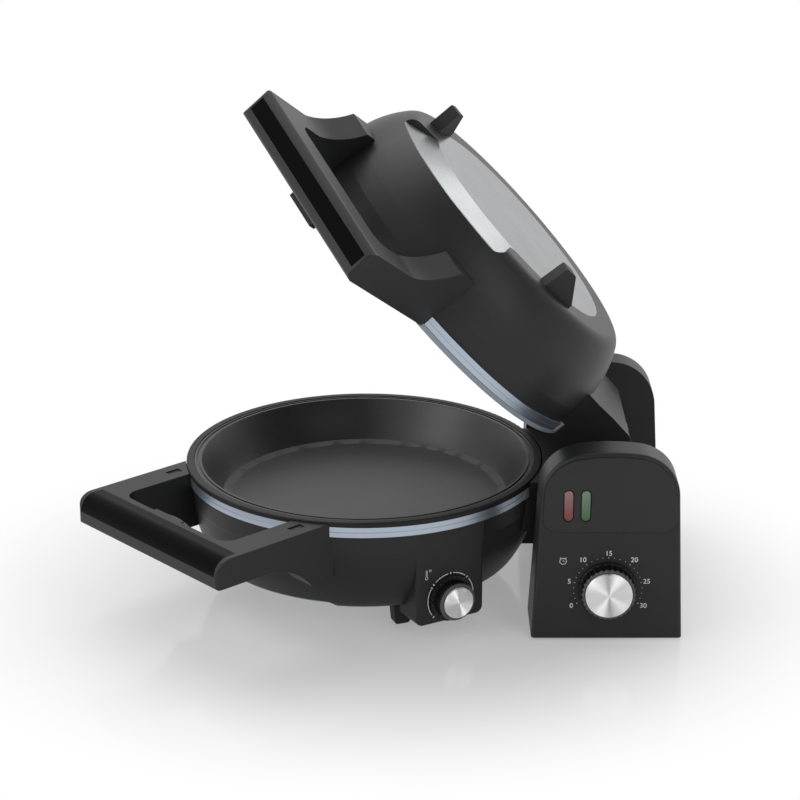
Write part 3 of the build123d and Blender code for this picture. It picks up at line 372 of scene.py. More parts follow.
def turned(name, colour, roughness, centre, axis, pitch, depth=0.000004, anisotropy=0.0, **plain):
    finish, tree, shader = blank_finish(name, colour, Metallic=1.0, **plain)
    lined = group_node(tree, turned_lines_group, "Turned lines",
                       {"Centre": centre, "Axis": axis, "Pitch": pitch, "Roughness": roughness})
    surface(tree, shader, lined, colour, lined["Shade"], depth)
    if anisotropy:
        shader.inputs["Anisotropic"].default_value = anisotropy
        across = vector_maths(tree, "CROSS_PRODUCT", round_axis(tree, centre, axis), axis)
        to_world = add(tree, "ShaderNodeVectorTransform", {"Vector": across},
                       vector_type="VECTOR", convert_from="OBJECT", convert_to="WORLD")
        tree.links.new(to_world.outputs[0], shader.inputs["Tangent"])
    return finish


def polished(name, colour, roughness, amount=0.12, **plain):
    finish, tree, shader = blank_finish(name, colour, **plain)
    smears = group_node(tree, handling_group, "Handling smears", {"Roughness": roughness, "Amount": amount})
    tree.links.new(smears["Roughness"], shader.inputs["Roughness"])
    return finish


def put_in_scene(name, data):
    made = bpy.data.objects.new(name, data)
    bpy.context.scene.collection.objects.link(made)
    return made


def evaluated_mesh(work, name):
    """The evaluated shape of a working object as a plain mesh. The working object goes."""
    bpy.context.view_layer.update()
    graph = bpy.context.evaluated_depsgraph_get()
    mesh = bpy.data.meshes.new_from_object(work.evaluated_get(graph), depsgraph=graph)
    mesh.name = name
    bpy.data.objects.remove(work)
    return mesh


def piece(name, mesh, finish, body, slot, *stands_for):
    """A finished piece at the origin, riding on a body."""
    mesh.materials.clear()
    mesh.materials.append(finish)
    made = put_in_scene(name, mesh)
    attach(made, body)
    if stands_for:
        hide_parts(*stands_for)
    return made


def shade_evenly(solid, crease):
    """Smooth shading, broken at open edges and at those sharper than crease degrees."""
    limit = math.radians(crease)
    for face in solid.faces:
        face.smooth = True
    for edge in solid.edges:
        edge.smooth = len(edge.link_faces) == 2 and edge.calc_face_angle(math.pi) < limit


def mesh_from(solid, name, place=Matrix()):
    """The finished mesh of a shape in its place. The shape goes."""
    mesh = bpy.data.meshes.new(name)
    solid.to_mesh(mesh)
    solid.free()
    mesh.transform(place)
    return mesh


def bridge(solid, rings, closed=False):
    """Faces from each ring of corners to the next."""
    following = rings[1:] + (rings[:1] if closed else [])
    for one, two in zip(rings, following):
        for i in range(len(one)):
            j = (i + 1) % len(one)
            solid.faces.new((one[i], one[j], two[j], two[i]))


def merge_and_shade(mesh, crease, outwards=False):
    """Join the corners of a mesh that meet, and shade it evenly."""
    solid = bmesh.new()
    solid.from_mesh(mesh)
    bmesh.ops.remove_doubles(solid, verts=solid.verts, dist=MERGE)
    if outwards:
        bmesh.ops.recalc_face_normals(solid, faces=solid.faces)
    shade_evenly(solid, crease)
    solid.to_mesh(mesh)
    solid.free()


def dressed(name, finish, crease=27.0):
    """A merged and smoothly shaded copy of a CAD node, which then stands for it."""
    mesh = NODES[name].data.copy()
    if "custom_normal" in mesh.attributes:
        mesh.attributes.remove(mesh.attributes["custom_normal"])
    merge_and_shade(mesh, crease)
    work = put_in_scene(name + "_work", mesh)
    weighted = work.modifiers.new("Even shading", "WEIGHTED_NORMAL")
    weighted.keep_sharp = True
    baked = evaluated_mesh(work, name + "_finished")
    return piece(name + "_finished", baked, finish, BODY_OF[name], SLOT_OF[name], name)


def dress_all(finish, *names):
    for name in names:
        dressed(name, finish)


def facing(origin, right, out):
    """Matrix that lays a drawing's x along right and its z out of the surface."""
    right, out = right.normalized(), out.normalized()
    turn = Matrix((right, out.cross(right), out)).transposed().to_4x4()
    turn.translation = origin
    return turn


def polar(radius, degrees):
    angle = math.radians(degrees)
    return Vector((radius * math.cos(angle), radius * math.sin(angle)))


def circle(centre, radius, steps):
    return [Vector(centre) + polar(radius, 360.0 * i / steps) for i in range(steps)]


def arc(radius, start, end, steps):
    return [polar(radius, start + (end - start) * i / steps) for i in range(steps + 1)]


def thin_plate(solid, outline, thick):
    """A flat closed plate from an outline in the drawing's plane."""
    top = [solid.verts.new((p[0], p[1], thick)) for p in outline]
    low = [solid.verts.new((p[0], p[1], -thick)) for p in outline]
    solid.faces.new(top)
    solid.faces.new(low[::-1])
    bridge(solid, [low, top])


def stroke(solid, points, width, thick, closed=False):
    """A line of even width along points, as a closed thin ribbon."""
    count = len(points)
    left, right = [], []
    for i, point in enumerate(points):
        before = points[i - 1] if closed or i else point
        after = points[(i + 1) % count] if closed or i < count - 1 else point
        along = (Vector(after) - Vector(before)).normalized()
        side = Vector((-along.y, along.x)) * width / 2
        left.append(Vector(point) + side)
        right.append(Vector(point) - side)
    rings = []
    for a, b in zip(left, right):
        rings.append([solid.verts.new((p.x, p.y, z)) for p, z in
                      ((a, thick), (b, thick), (b, -thick), (a, -thick))])
    bridge(solid, rings, closed)
    if not closed:
        solid.faces.new(rings[0][::-1])
        solid.faces.new(rings[-1])


def drawing_mesh(name, draw, place):
    """A mesh from a drawing function, laid on its surface with its faces outwards."""
    solid = bmesh.new()
    draw(solid)
    bmesh.ops.recalc_face_normals(solid, faces=solid.faces)
    return mesh_from(solid, name, place)


def joined_mesh(name, meshes, place=Matrix()):
    """Several meshes as one."""
    solid = bmesh.new()
    for mesh in meshes:
        solid.from_mesh(mesh)
        bpy.data.meshes.remove(mesh)
    return mesh_from(solid, name, place)


def number_mesh(words, size, centre):
    """Plain figures as a thin mesh, centred in the drawing's plane."""
    curve = bpy.data.curves.new("figures", "FONT")
    curve.body = words
    curve.size = size
    curve.align_x = "CENTER"
    curve.align_y = "CENTER"
    curve.extrude = PRINT_THICK
    curve.offset = PRINT_WEIGHT
    mesh = evaluated_mesh(put_in_scene("figures", curve), "figures")
    mesh.transform(Matrix.Translation((centre.x, centre.y, 0)))
    return mesh


# Geometry Nodes for what repeats

def repeat_tree(name, inputs):
    inputs["Finish"] = None
    return group_tree(name, inputs, ("Geometry",), "GeometryNodeTree", "NodeSocketGeometry")


def combined(tree, *lengths):
    """A vector from its two or three lengths."""
    return add(tree, "ShaderNodeCombineXYZ", dict(enumerate(lengths))).outputs[0]


def rod(tree, corners, radius, height):
    return add(tree, "GeometryNodeMeshCylinder", {
        "Vertices": corners, "Radius": radius, "Depth": height}).outputs["Mesh"]


def set_out(tree, given, result, points, shape, **placing):
    """The shape at each point, in its finish, as the tree's result."""
    spread = add(tree, "GeometryNodeInstanceOnPoints", {"Points": points, "Instance": shape, **placing})
    real = add(tree, "GeometryNodeRealizeInstances", {0: spread.outputs[0]})
    finished = add(tree, "GeometryNodeSetMaterial", {0: real.outputs[0], "Material": given["Finish"]})
    tree.links.new(finished.outputs[0], result["Geometry"])
    return tree


def marks_on_a_circle_tree():
    """Small flat marks on part of a circle: dots where length and width agree, else radial strokes."""
    tree, given, result = repeat_tree("Marks on a circle", {
        "Count": 31, "Radius": 0.0245, "Start": 0.0, "Step": 0.1,
        "Length": 0.0006, "Width": 0.0006, "Thickness": PRINT_THICK})
    points = add(tree, "GeometryNodeMeshLine", {"Count": given["Count"]})
    index = add(tree, "GeometryNodeInputIndex").outputs[0]
    angle = maths(tree, "ADD", maths(tree, "MULTIPLY", index, given["Step"]), given["Start"])
    x = maths(tree, "MULTIPLY", maths(tree, "COSINE", angle), given["Radius"])
    y = maths(tree, "MULTIPLY", maths(tree, "SINE", angle), given["Radius"])
    placed = add(tree, "GeometryNodeSetPosition", {
        "Geometry": points.outputs["Mesh"], "Position": combined(tree, x, y)})
    size = combined(tree, given["Length"], given["Width"], given["Thickness"])
    return set_out(tree, given, result, placed.outputs[0], rod(tree, 10, 0.5, 2.0),
                   Rotation=combined(tree, 0.0, 0.0, angle), Scale=size)


def cross_screws_tree():
    """A straight row of countersunk screw heads with a cross in each."""
    tree, given, result = repeat_tree("Row of cross-head screws", {
        "Count": 2, "Start": Vector(), "Spacing": Vector(),
        "Head radius": 0.003, "Head height": 0.0009, "Slot width": 0.0008})
    points = add(tree, "GeometryNodeMeshLine", {
        "Count": given["Count"], "Start Location": given["Start"], "Offset": given["Spacing"]})
    radius, height, slot_width = given["Head radius"], given["Head height"], given["Slot width"]
    top_radius = maths(tree, "MULTIPLY", radius, 0.86)
    top_height = maths(tree, "MULTIPLY", height, 1.35)
    head = add(tree, "GeometryNodeMeshBoolean", operation="UNION")
    for part in (rod(tree, 32, radius, height), rod(tree, 32, top_radius, top_height)):
        tree.links.new(part, head.inputs[1])
    cut = add(tree, "GeometryNodeMeshBoolean", {0: head.outputs[0]}, operation="DIFFERENCE")
    long_way = maths(tree, "MULTIPLY", radius, 1.25)
    up = combined(tree, 0.0, 0.0, maths(tree, "MULTIPLY", height, 0.75))
    for first, second in ((long_way, slot_width), (slot_width, long_way)):
        bar = add(tree, "GeometryNodeMeshCube", {"Size": combined(tree, first, second, height)})
        raised = add(tree, "GeometryNodeTransform", {"Geometry": bar.outputs["Mesh"], "Translation": up})
        tree.links.new(raised.outputs[0], cut.inputs[1])
    return set_out(tree, given, result, points.outputs[0], cut.outputs[0])


def repeated(name, maker, tree_name, inputs, place):
    """The plain mesh that a repeating tree gives, laid in its place."""
    tree = bpy.data.node_groups.get(tree_name) or maker()
    sockets = {item.name: item.identifier for item in tree.interface.items_tree if item.in_out == "INPUT"}
    work = put_in_scene(name, bpy.data.meshes.new(name))
    modifier = work.modifiers.new(tree_name, "NODES")
    modifier.node_group = tree
    for label, value in inputs.items():
        modifier[sockets[label]] = value
    mesh = evaluated_mesh(work, name)
    mesh.transform(place)
    return mesh


def marks(name, finish, place, **inputs):
    given = {label.capitalize(): value for label, value in inputs.items()}
    given["Finish"] = finish
    return repeated(name, marks_on_a_circle_tree, "Marks on a circle", given, place)


# Finishes

BLACK_RIM = (0.0105, 0.0106, 0.011)
KNOB_GREY, KNOB_BLACK = (0.1, 0.1, 0.101), (0.0025, 0.0025, 0.0025)


def ink(colours):
    return bpy.data.materials.get("printed_ink") or moulded(
        "printed_ink", colours.print_ink, 0.5, grain=5200.0, depth=0.000004)


def recolour(finish, mask, colour):
    """Give a finish another colour where the mask is 1."""
    tree = finish.node_tree
    target = tree.nodes["Principled BSDF"].inputs["Base Color"]
    tree.links.new(mixed(tree, mask, target.links[0].from_socket, (*colour, 1.0)), target)
    return finish


def knob_finish(name, centre, axis):
    """Black flange and wall, with a grey front edge."""
    finish = moulded(name, KNOB_GREY, 0.42, grain=3200.0, Specular_IOR_Level=0.3)
    tree = finish.node_tree
    arm = vector_maths(tree, "SUBTRACT", object_place(tree), centre)
    level = vector_maths(tree, "DOT_PRODUCT", arm, axis, out="Value")
    return recolour(finish, maths(tree, "LESS_THAN", level, SKIRT_TOP - GREY_EDGE_DEPTH), KNOB_BLACK)


def rim_finish(name="rim_moulding"):
    return moulded(name, BLACK_RIM, 0.5, grain=3000.0, Specular_IOR_Level=0.25)


def lid_rim_finish(colours):
    """Black ring with a painted reflection in bluish silver round its outer edge."""
    finish = rim_finish("lid_rim_moulding")
    tree = finish.node_tree
    # Beyond this radius the black ring gets a painted reflection of the lights, in bluish silver.
    painted_reflection_band = maths(tree, "GREATER_THAN", axis_distance(tree, LID_PAN, LID_UP), RIM_REFLECTION_RADIUS)
    return recolour(finish, painted_reflection_band, [0.75 * c for c in colours.trim])


def lens_finish(name, colour, low, high):
    """Gloss plastic with fine upright prisms inside it, and a painted reflection that makes it paler towards the
    top.
    """
    finish = polished(name, colour, 0.24, 0.1, Coat_Weight=0.35, Coat_Roughness=0.1)
    tree = finish.node_tree
    shader = tree.nodes["Principled BSDF"]
    place = object_place(tree)
    wave = add(tree, "ShaderNodeTexWave", {"Vector": place, "Scale": 420.0}, bands_direction="X")
    prisms = wave.outputs["Fac"]
    ribs = maths(tree, "ADD", maths(tree, "MULTIPLY", prisms, 0.5), 0.75)
    # The paler top is a painted reflection of the lights inside the lens, mixed in by height.
    level = add(tree, "ShaderNodeSeparateXYZ", {0: place}).outputs["Z"]
    painted_reflection_share = mapped(tree, level, low, high, to_high=0.55)
    painted_reflection_colour = (*(0.28 + 0.6 * c for c in colour), 1.0)
    tint(tree, shader, mixed(tree, painted_reflection_share, (*colour, 1.0), painted_reflection_colour), ribs)
    relief(tree, shader, prisms, 0.00004, 0.5)
    return finish


def coating_finish(colour, centre, axis):
    """Sprayed non-stick coating: even satin, fine light specks and a faint ring pattern under it."""
    finish, tree, shader = blank_finish("nonstick_coating", colour)
    lined = group_node(tree, turned_lines_group, "Turned lines", {
        "Centre": centre, "Axis": axis, "Pitch": 0.0011, "Roughness": 0.4, "Spread": 0.08})
    specks = add(tree, "ShaderNodeTexVoronoi", {"Vector": object_place(tree), "Scale": 620.0})
    light = mapped(tree, specks.outputs["Distance"], 0.0, 0.24, 2.6, 1.0)
    surface(tree, shader, lined, colour, light, 0.000012)
    return finish


# Operators: one for each group of like pieces

class DressMouldings(Operator):
    """Give the shells, towers, bridge, covers and rim rings their satin moulded finish"""
    bl_idname = "tortilla.mouldings"
    bl_label = "Mouldings"

    def execute(self, context):
        colours = context.scene.tortilla_colours
        satin = moulded("satin_moulding", colours.moulding, 0.44, spread=0.12, Specular_IOR_Level=0.28)
        dress_all(satin, "lower_shell", "upper_shell", "front_tower_shell", "rear_tower_shell", "base_bridge",
                  "front_bottom_plate", "rear_bottom_plate", "lower_neck_cover", "upper_neck_cover",
                  "latch_catch", "cord_gland")
        dress_all(rim_finish(), "lower_rim_ring", "lid_latch")
        dressed("upper_rim_ring", lid_rim_finish(colours))
        dress_all(moulded("clip_moulding", (0.36, 0.38, 0.4), 0.5), "lower_ring_clips", "upper_ring_clips")
        return {"FINISHED"}


class DressHandles(Operator):
    """Give the two handle covers their gloss finish"""
    bl_idname = "tortilla.handles"
    bl_label = "Handle covers"

    def execute(self, context):
        colour = context.scene.tortilla_colours.grip
        gloss = polished("gloss_grip", colour, 0.07, 0.08, Specular_IOR_Level=0.05)
        dress_all(gloss, "lower_handle_grip", "upper_handle_grip")
        return {"FINISHED"}


class DressPlates(Operator):
    """Coat the two baking plates"""
    bl_idname = "tortilla.plates"
    bl_label = "Baking plates"

    def execute(self, context):
        coating = context.scene.tortilla_colours.coating
        dressed("lower_plate", coating_finish(coating, PAN, Z), crease=33.0)
        dressed("upper_plate", coating_finish(coating, LID_PAN, LID_UP), crease=33.0)
        return {"FINISHED"}


class DressBrightParts(Operator):
    """Give the trim bands and the two large discs their satin metal"""
    bl_idname = "tortilla.bright_parts"
    bl_label = "Trim bands and discs"

    def execute(self, context):
        colours = context.scene.tortilla_colours
        for half, centre, axis in (("lower", PAN, Z), ("upper", LID_PAN, LID_UP)):
            dressed(half + "_trim_ring", turned(
                half + "_trim_metal", colours.trim, 0.42, centre, axis, 0.0003, anisotropy=0.2))
            dressed(half + "_disc", turned(
                half + "_disc_metal", colours.disc, 0.25, centre, axis, 0.0005, 0.000002, anisotropy=0.2,
                Specular_Tint=(0.82, 0.82, 0.82, 1.0)), crease=8.0)
        return {"FINISHED"}


class DressFeet(Operator):
    """Give the feet their dark rubber"""
    bl_idname = "tortilla.feet"
    bl_label = "Feet"

    def execute(self, context):
        rubber = moulded(
            "foot_rubber", (0.008, 0.008, 0.0082), 0.66, grain=1500.0, depth=0.00005, spread=0.15)
        dress_all(rubber, "lower_feet", "upper_feet", "base_feet")
        return {"FINISHED"}


class DressInnerWorks(Operator):
    """Give the parts inside the housings their own finishes"""
    bl_idname = "tortilla.inner_works"
    bl_label = "Inner works"

    def execute(self, context):
        finishes = {
            "steel": turned("zinc_steel", (0.5, 0.5, 0.51), 0.34, HINGE, Y, 0.0006),
            "bush_brass": turned("turned_brass", (0.6, 0.43, 0.16), 0.28, HINGE, Y, 0.0004),
            "element_steel": turned("heated_steel", (0.2, 0.18, 0.165), 0.42, PAN, Z, 0.002),
            "reflector_aluminium": turned("pressed_aluminium", (0.68, 0.68, 0.69), 0.38, PAN, Z, 0.0012),
            "board_green": moulded("board_lacquer", (0.015, 0.09, 0.03), 0.3, grain=900.0),
            "lamp_glass": polished("neon_glass", (0.9, 0.62, 0.42), 0.05, 0.05, Transmission_Weight=0.9),
            "wire_white": moulded("wire_sleeve", (0.6, 0.6, 0.57), 0.55, grain=1800.0),
            "device_white": moulded("device_ceramic", (0.66, 0.63, 0.56), 0.5, grain=1200.0),
        }
        for name, slot in SLOT_OF.items():
            if slot in finishes:
                dressed(name, finishes[slot])
        return {"FINISHED"}


def ring_solid(name, profile, place, lobes=0, steps=96, crease=30.0):
    """A closed turned shape from radius, level and scallop depth at each ring."""
    solid = bmesh.new()
    rings = []
    for radius, level, depth in profile:
        ring = []
        for i in range(steps):
            wave = 0.5 * depth * (math.cos(2 * math.pi * i * lobes / steps) - 1)
            spot = polar(radius + wave, 360.0 * i / steps)
            ring.append(solid.verts.new((spot.x, spot.y, level)))
        rings.append(ring)
    bridge(solid, rings)
    for ring in (rings[0], rings[-1]):
        middle = solid.verts.new((0, 0, ring[0].co.z))
        for i in range(steps):
            solid.faces.new((ring[i], ring[(i + 1) % steps], middle))
    bmesh.ops.recalc_face_normals(solid, faces=solid.faces)
    shade_evenly(solid, crease)
    return mesh_from(solid, name, place)


def knob_profile(flange, skirt, cap, depth, edge=0.0003):
    """Rings from the flange's underside up to the seat of the cap."""
    low, high = FLANGE_LEVELS
    return [
        (flange - edge, low, 0), (flange, low + edge, 0), (flange, high - edge, 0), (flange - edge, high, 0),
        (skirt + edge, high, 0), (skirt, high + 0.0001, depth), (skirt, SKIRT_TOP - 0.0011, depth),
        (skirt - 0.0004, SKIRT_TOP - 0.0005, depth * 0.8), (skirt - 0.0012, SKIRT_TOP, 0),
        (cap + 0.0007, SKIRT_TOP, 0), (cap + 0.0004, SKIRT_TOP - 0.0006, 0)]


def cap_profile(cap):
    """Rings from the cap's underside to its faintly hollow face."""
    low, high = CAP_LEVELS
    return [
        (cap - 0.0005, low, 0), (cap, low + 0.0004, 0), (cap, high - 0.0005, 0),
        (cap - 0.0002, high - 0.00015, 0), (cap - 0.0006, high, 0), (cap * 0.6, high - 0.00005, 0),
        (cap * 0.25, high - 0.0001, 0)]


class DressKnobs(Operator):
    """Make the scalloped knobs with their turned caps and raised marks round each flange"""
    bl_idname = "tortilla.knobs"
    bl_label = "Knobs"

    def execute(self, context):
        colour = context.scene.tortilla_colours.cap
        count = context.scene.tortilla_prints.flange_marks
        mark = moulded("flange_mark", (0.16, 0.16, 0.165), 0.4)
        for knob, body, centre, axis in (
                ("timer", "timer", TIMER, FRONT), ("thermostat", "thermostat_dial", DIAL, DIAL_OUT)):
            flange, skirt, cap, lobes, depth, mark_circle = KNOB_SHAPES[knob]
            place = facing(centre, Z.cross(axis), axis)
            profile = knob_profile(flange, skirt, cap, depth)
            grip = ring_solid(knob + "_grip", profile, place, lobes, lobes * 8)
            plastic = knob_finish(knob + "_knob_moulding", centre, axis)
            piece(knob + "_grip", grip, plastic, body, "knob_black", knob + "_knob")
            face = ring_solid(knob + "_cap", cap_profile(cap), place)
            metal = turned(
                knob + "_cap_metal", colour, 0.5, centre, axis, 0.00022, 0.000002, anisotropy=1.0)
            piece(knob + "_cap", face, metal, body, "knob_aluminium", knob + "_knob_cap")
            on_flange = place @ Matrix.Translation((0, 0, FLANGE_LEVELS[1]))
            ring = marks(knob + "_flange_marks", mark, on_flange, count=count, radius=mark_circle,
                         start=math.pi / count, step=2 * math.pi / count, **FLANGE_MARK)
            piece(knob + "_flange_marks", ring, mark, body, "knob_black")
        return {"FINISHED"}


def direction(vector):
    return math.degrees(math.atan2(vector.y, vector.x))


def arch_outline(margin, bottom, corner, steps=14):
    """The tower's arched face about the hinge axis, moved in by margin and cut off at bottom."""
    shoulder = ARCH_TOP - (ARCH_CROWN - math.sqrt(ARCH_CROWN ** 2 - ARCH_HALF_TOP ** 2))
    line = Vector((ARCH_HALF_BOTTOM - ARCH_HALF_TOP, ARCH_FOOT - shoulder)).normalized()
    inward = Vector((line.y, -line.x))
    centre = Vector((0, ARCH_TOP - ARCH_CROWN))

    # the shoulder's round touches both the side's line and the crown's round
    start = Vector((ARCH_HALF_TOP, shoulder)) + inward * ARCH_BEND
    gap = start - centre
    half_b = gap.dot(line)
    along = -half_b - math.sqrt(half_b ** 2 - gap.length_squared + (ARCH_CROWN - ARCH_BEND) ** 2)
    bend_centre = start + line * along
    to_side, to_crown = direction(-inward), direction(bend_centre - centre)

    # the lower corner touches the side's line and the bottom
    side_point = bend_centre - inward * (ARCH_BEND - margin)
    low_centre = Vector((side_point.x, bottom + corner))
    low_centre.x += (corner - (low_centre - side_point).dot(inward)) / inward.x

    right = [low_centre + p for p in arc(corner, -90, to_side, steps)]
    right += [bend_centre + p for p in arc(ARCH_BEND - margin, to_side, to_crown, 2 * steps)]
    right += [centre + p for p in arc(ARCH_CROWN - margin, to_crown, 90, steps)[1:-1]]
    left = [Vector((-p.x, p.y)) for p in reversed(right)]
    crest = [Vector((0, ARCH_TOP - margin))]
    return [Vector((p.x + TIMER.x - HINGE.x, p.y)) for p in right + crest + left]


def capsule(half_straight, radius, steps=12):
    """Outline of an upright slot with full round ends."""
    top = [Vector((0, half_straight)) + p for p in arc(radius, 0, 180, steps)]
    return top + [-p for p in top]


def plate_curve(name, outlines, low, high, edge):
    """A plate with holes, between two levels, with a rounded front edge."""
    curve = bpy.data.curves.new(name, "CURVE")
    curve.dimensions = "2D"
    curve.fill_mode = "BOTH"
    curve.extrude = (high - low) / 2 - edge
    curve.bevel_depth = edge
    curve.bevel_resolution = 3
    curve.offset = -edge
    for outline in outlines:
        spline = curve.splines.new("POLY")
        spline.points.add(len(outline) - 1)
        for target, point in zip(spline.points, outline):
            target.co = (point[0], point[1], 0, 1)
        spline.use_cyclic_u = True
    mesh = evaluated_mesh(put_in_scene(name, curve), name)
    mesh.transform(Matrix.Translation((0, 0, (low + high) / 2)))
    merge_and_shade(mesh, 35.0, outwards=True)
    return mesh


def domed_capsule(solid, centre, half_straight, radius, base, edge_level, crest):
    """A lens with full round ends, a short upright wall and a domed front."""
    steps = 9
    levels = [(1.0, base), (1.0, edge_level)]
    for i in range(1, steps):
        angle = 0.5 * math.pi * i / steps
        levels.append((math.cos(angle), edge_level + (crest - edge_level) * math.sin(angle)))
    rings = []
    for share, level in levels:
        outline = capsule(half_straight, radius * share, 14)
        rings.append([solid.verts.new((centre.x + p.x, centre.y + p.y, level)) for p in outline])
    bridge(solid, rings)
    solid.faces.new(rings[-1])
    for face in solid.faces:
        face.smooth = True
    solid.faces.new(rings[0][::-1])


class MakeLampPanel(Operator):
    """Make the raised lamp panel with its two slots, and the round-ended lenses in them"""
    bl_idname = "tortilla.lamp_panel"
    bl_label = "Lamp panel and lenses"

    def execute(self, context):
        sizes = context.scene.tortilla_panel
        colours = context.scene.tortilla_colours
        face = facing(Vector((HINGE.x, TIMER.y, HINGE.z)), X, FRONT)
        radius = sizes.lens_width / 2
        straight = sizes.lens_height / 2 - radius
        middles = {}
        for name in ("red_lens", "green_lens"):
            low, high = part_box(name)
            middles[name] = Vector(((low.x + high.x) / 2 - HINGE.x, (low.z + high.z) / 2 - HINGE.z))

        def slots(gap):
            return [[middle + p for p in capsule(straight, radius + gap)] for middle in middles.values()]

        outlines = [arch_outline(sizes.margin, PANEL_BOTTOM, PANEL_CORNER)] + slots(sizes.lens_gap)
        mesh = plate_curve("lamp_panel", outlines, PANEL_BACK, sizes.proud, PANEL_EDGE)
        mesh.transform(face)
        satin = moulded("panel_moulding", colours.panel, 0.38, spread=0.1, Specular_IOR_Level=0.3)
        piece("lamp_panel", mesh, satin, "base", "panel_black", "front_lamp_panel")
        dark = moulded("slot_shadow", (0.0022, 0.0022, 0.0022), 0.6)
        wider = slots(sizes.lens_gap + SLOT_FLOOR_LAP)
        floors = drawing_mesh(
            "lamp_slot_floors", lambda solid: [thin_plate(solid, slot, SLOT_FLOOR_HALF) for slot in wider],
            face @ Matrix.Translation((0, 0, SLOT_FLOOR)))
        piece("lamp_slot_floors", floors, dark, "base", "panel_black")
        for name, middle in middles.items():
            dome = drawing_mesh(name + "_dome", lambda solid: domed_capsule(
                solid, middle, straight, radius, LENS_ROOT, sizes.proud + LENS_SHOULDER,
                sizes.proud + LENS_CREST), face)
            height = HINGE.z + middle.y
            plastic = lens_finish(
                name + "_plastic", getattr(colours, name), height - straight, height + straight + radius)
            piece(name + "_dome", dome, plastic, "base", name, name)
        return {"FINISHED"}


class PrintTimerScale(Operator):
    """Print the timer's numbers, dots and clock sign on the tower"""
    bl_idname = "tortilla.timer_scale"
    bl_label = "Timer scale"

    def execute(self, context):
        sizes = context.scene.tortilla_prints
        paint = ink(context.scene.tortilla_colours)
        place = facing(TIMER, X, FRONT)
        figures = []
        for minute in range(0, MINUTES + 1, 5):
            angle = ZERO_ANGLE + MINUTE_STEP * minute
            outward = DIGIT_SHIFT * abs(math.sin(math.radians(2 * angle)))
            centre = polar(sizes.digit_circle + outward, angle)
            figures.append(number_mesh(str(minute), sizes.digit_size, centre))
        numbers = joined_mesh("timer_numbers", figures, place)
        piece("timer_numbers", numbers, paint, "base", "knob_aluminium")
        ring = {"radius": sizes.dot_circle, "start": math.radians(ZERO_ANGLE)}
        dot = {"length": 2 * sizes.dot_radius, "width": 2 * sizes.dot_radius}
        both = [marks(name, paint, place, count=MINUTES // 5 * per_five + 1,
                      step=math.radians(5 * MINUTE_STEP / per_five), **size, **ring)
                for name, per_five, size in (
                    ("minute_dots", DOTS_PER_FIVE, dot), ("five_minute_marks", 1, FIVE_MINUTE_MARK))]
        piece("minute_marks", joined_mesh("minute_marks", both), paint, "base", "knob_aluminium")
        clock = drawing_mesh("clock_sign", self.draw_clock, place @ Matrix.Translation(CLOCK_SIGN))
        piece("clock_sign", clock, paint, "base", "knob_aluminium")
        return {"FINISHED"}

    @staticmethod
    def draw_clock(solid):
        line = 0.0004
        stroke(solid, circle((0, 0), 0.0024, 32), line, PRINT_THICK, closed=True)
        stroke(solid, [(0, 0.0014), (0, 0), (0.0010, -0.0002)], line * 0.8, PRINT_THICK)
        for side in (-1, 1):
            bell = [Vector((p.x * side, p.y)) for p in arc(0.0032, 44, 60, 6)]
            stroke(solid, bell, line * 1.4, PRINT_THICK)


class PrintHeatScale(Operator):
    """Print the arc, its marks and the thermometer sign round the thermostat's dial"""
    bl_idname = "tortilla.heat_scale"
    bl_label = "Thermostat scale"

    def execute(self, context):
        paint = ink(context.scene.tortilla_colours)
        sizes = context.scene.tortilla_prints
        place = facing(DIAL, Z.cross(DIAL_OUT), DIAL_OUT)
        scale = drawing_mesh("heat_scale", lambda solid: self.draw_scale(solid, sizes), place)
        piece("heat_scale", scale, paint, "lower_half", "knob_aluminium")
        sign = drawing_mesh(
            "thermometer_sign", self.draw_thermometer, place @ Matrix.Translation(THERMOMETER_SIGN))
        piece("thermometer_sign", sign, paint, "lower_half", "knob_aluminium")
        return {"FINISHED"}

    @staticmethod
    def draw_scale(solid, sizes):
        radius, width = sizes.arc_circle, sizes.arc_width
        for one, two in zip(HEAT_STOPS, HEAT_STOPS[1:]):
            stroke(solid, arc(radius, 90 - one - HEAT_GAP, 90 - two + HEAT_GAP, 24), width, PRINT_THICK)
        for stop in HEAT_STOPS:
            tick = [polar(radius + end, 90 - stop) for end in (-HEAT_TICK, HEAT_TICK)]
            stroke(solid, tick, width * 1.5, PRINT_THICK)
        thin_plate(solid, [polar(radius + out, 90 - turn) for out, turn in HEAT_ARROW], PRINT_THICK)

    @staticmethod
    def draw_thermometer(solid):
        line = 0.00038
        bulb = arc(0.0011, 68, -248, 20)
        stem_top = 0.0056
        half = bulb[0].x
        tube = bulb + [Vector((-half, stem_top))]
        tube += [Vector((0, stem_top)) + p for p in arc(half, 180, 0, 10)[1:-1]]
        tube.append(Vector((half, stem_top)))
        stroke(solid, tube, line, PRINT_THICK, closed=True)
        stroke(solid, circle((0.0030, 0.0054), 0.00085, 16), line, PRINT_THICK, closed=True)


class FitCoverScrews(Operator):
    """Fit two cross-head screws to each neck cover"""
    bl_idname = "tortilla.cover_screws"
    bl_label = "Neck cover screws"

    def execute(self, context):
        steel = bpy.data.materials["zinc_steel"]
        out = Vector((COVER_SLOPE.z, 0, -COVER_SLOPE.x))
        for half, middle in SCREWS_DOWN_SLOPE.items():
            origin, right, normal = COVER_RIDGE, COVER_SLOPE, out
            if half == "upper":
                origin, right, normal = (LID_TURN @ Vector((v.x, v.y, -v.z)) for v in (origin, right, normal))
            place = facing(HINGE + origin + right * middle - normal * SCREW_SUNK, right, normal)
            mesh = repeated(half + "_cover_screws", cross_screws_tree, "Row of cross-head screws", {
                "Count": 2, "Start": (0, -SCREW_SPACING / 2, 0), "Spacing": (0, SCREW_SPACING, 0),
                "Finish": steel}, place)
            piece(half + "_cover_screws", mesh, steel, half + "_half", "steel")
        return {"FINISHED"}


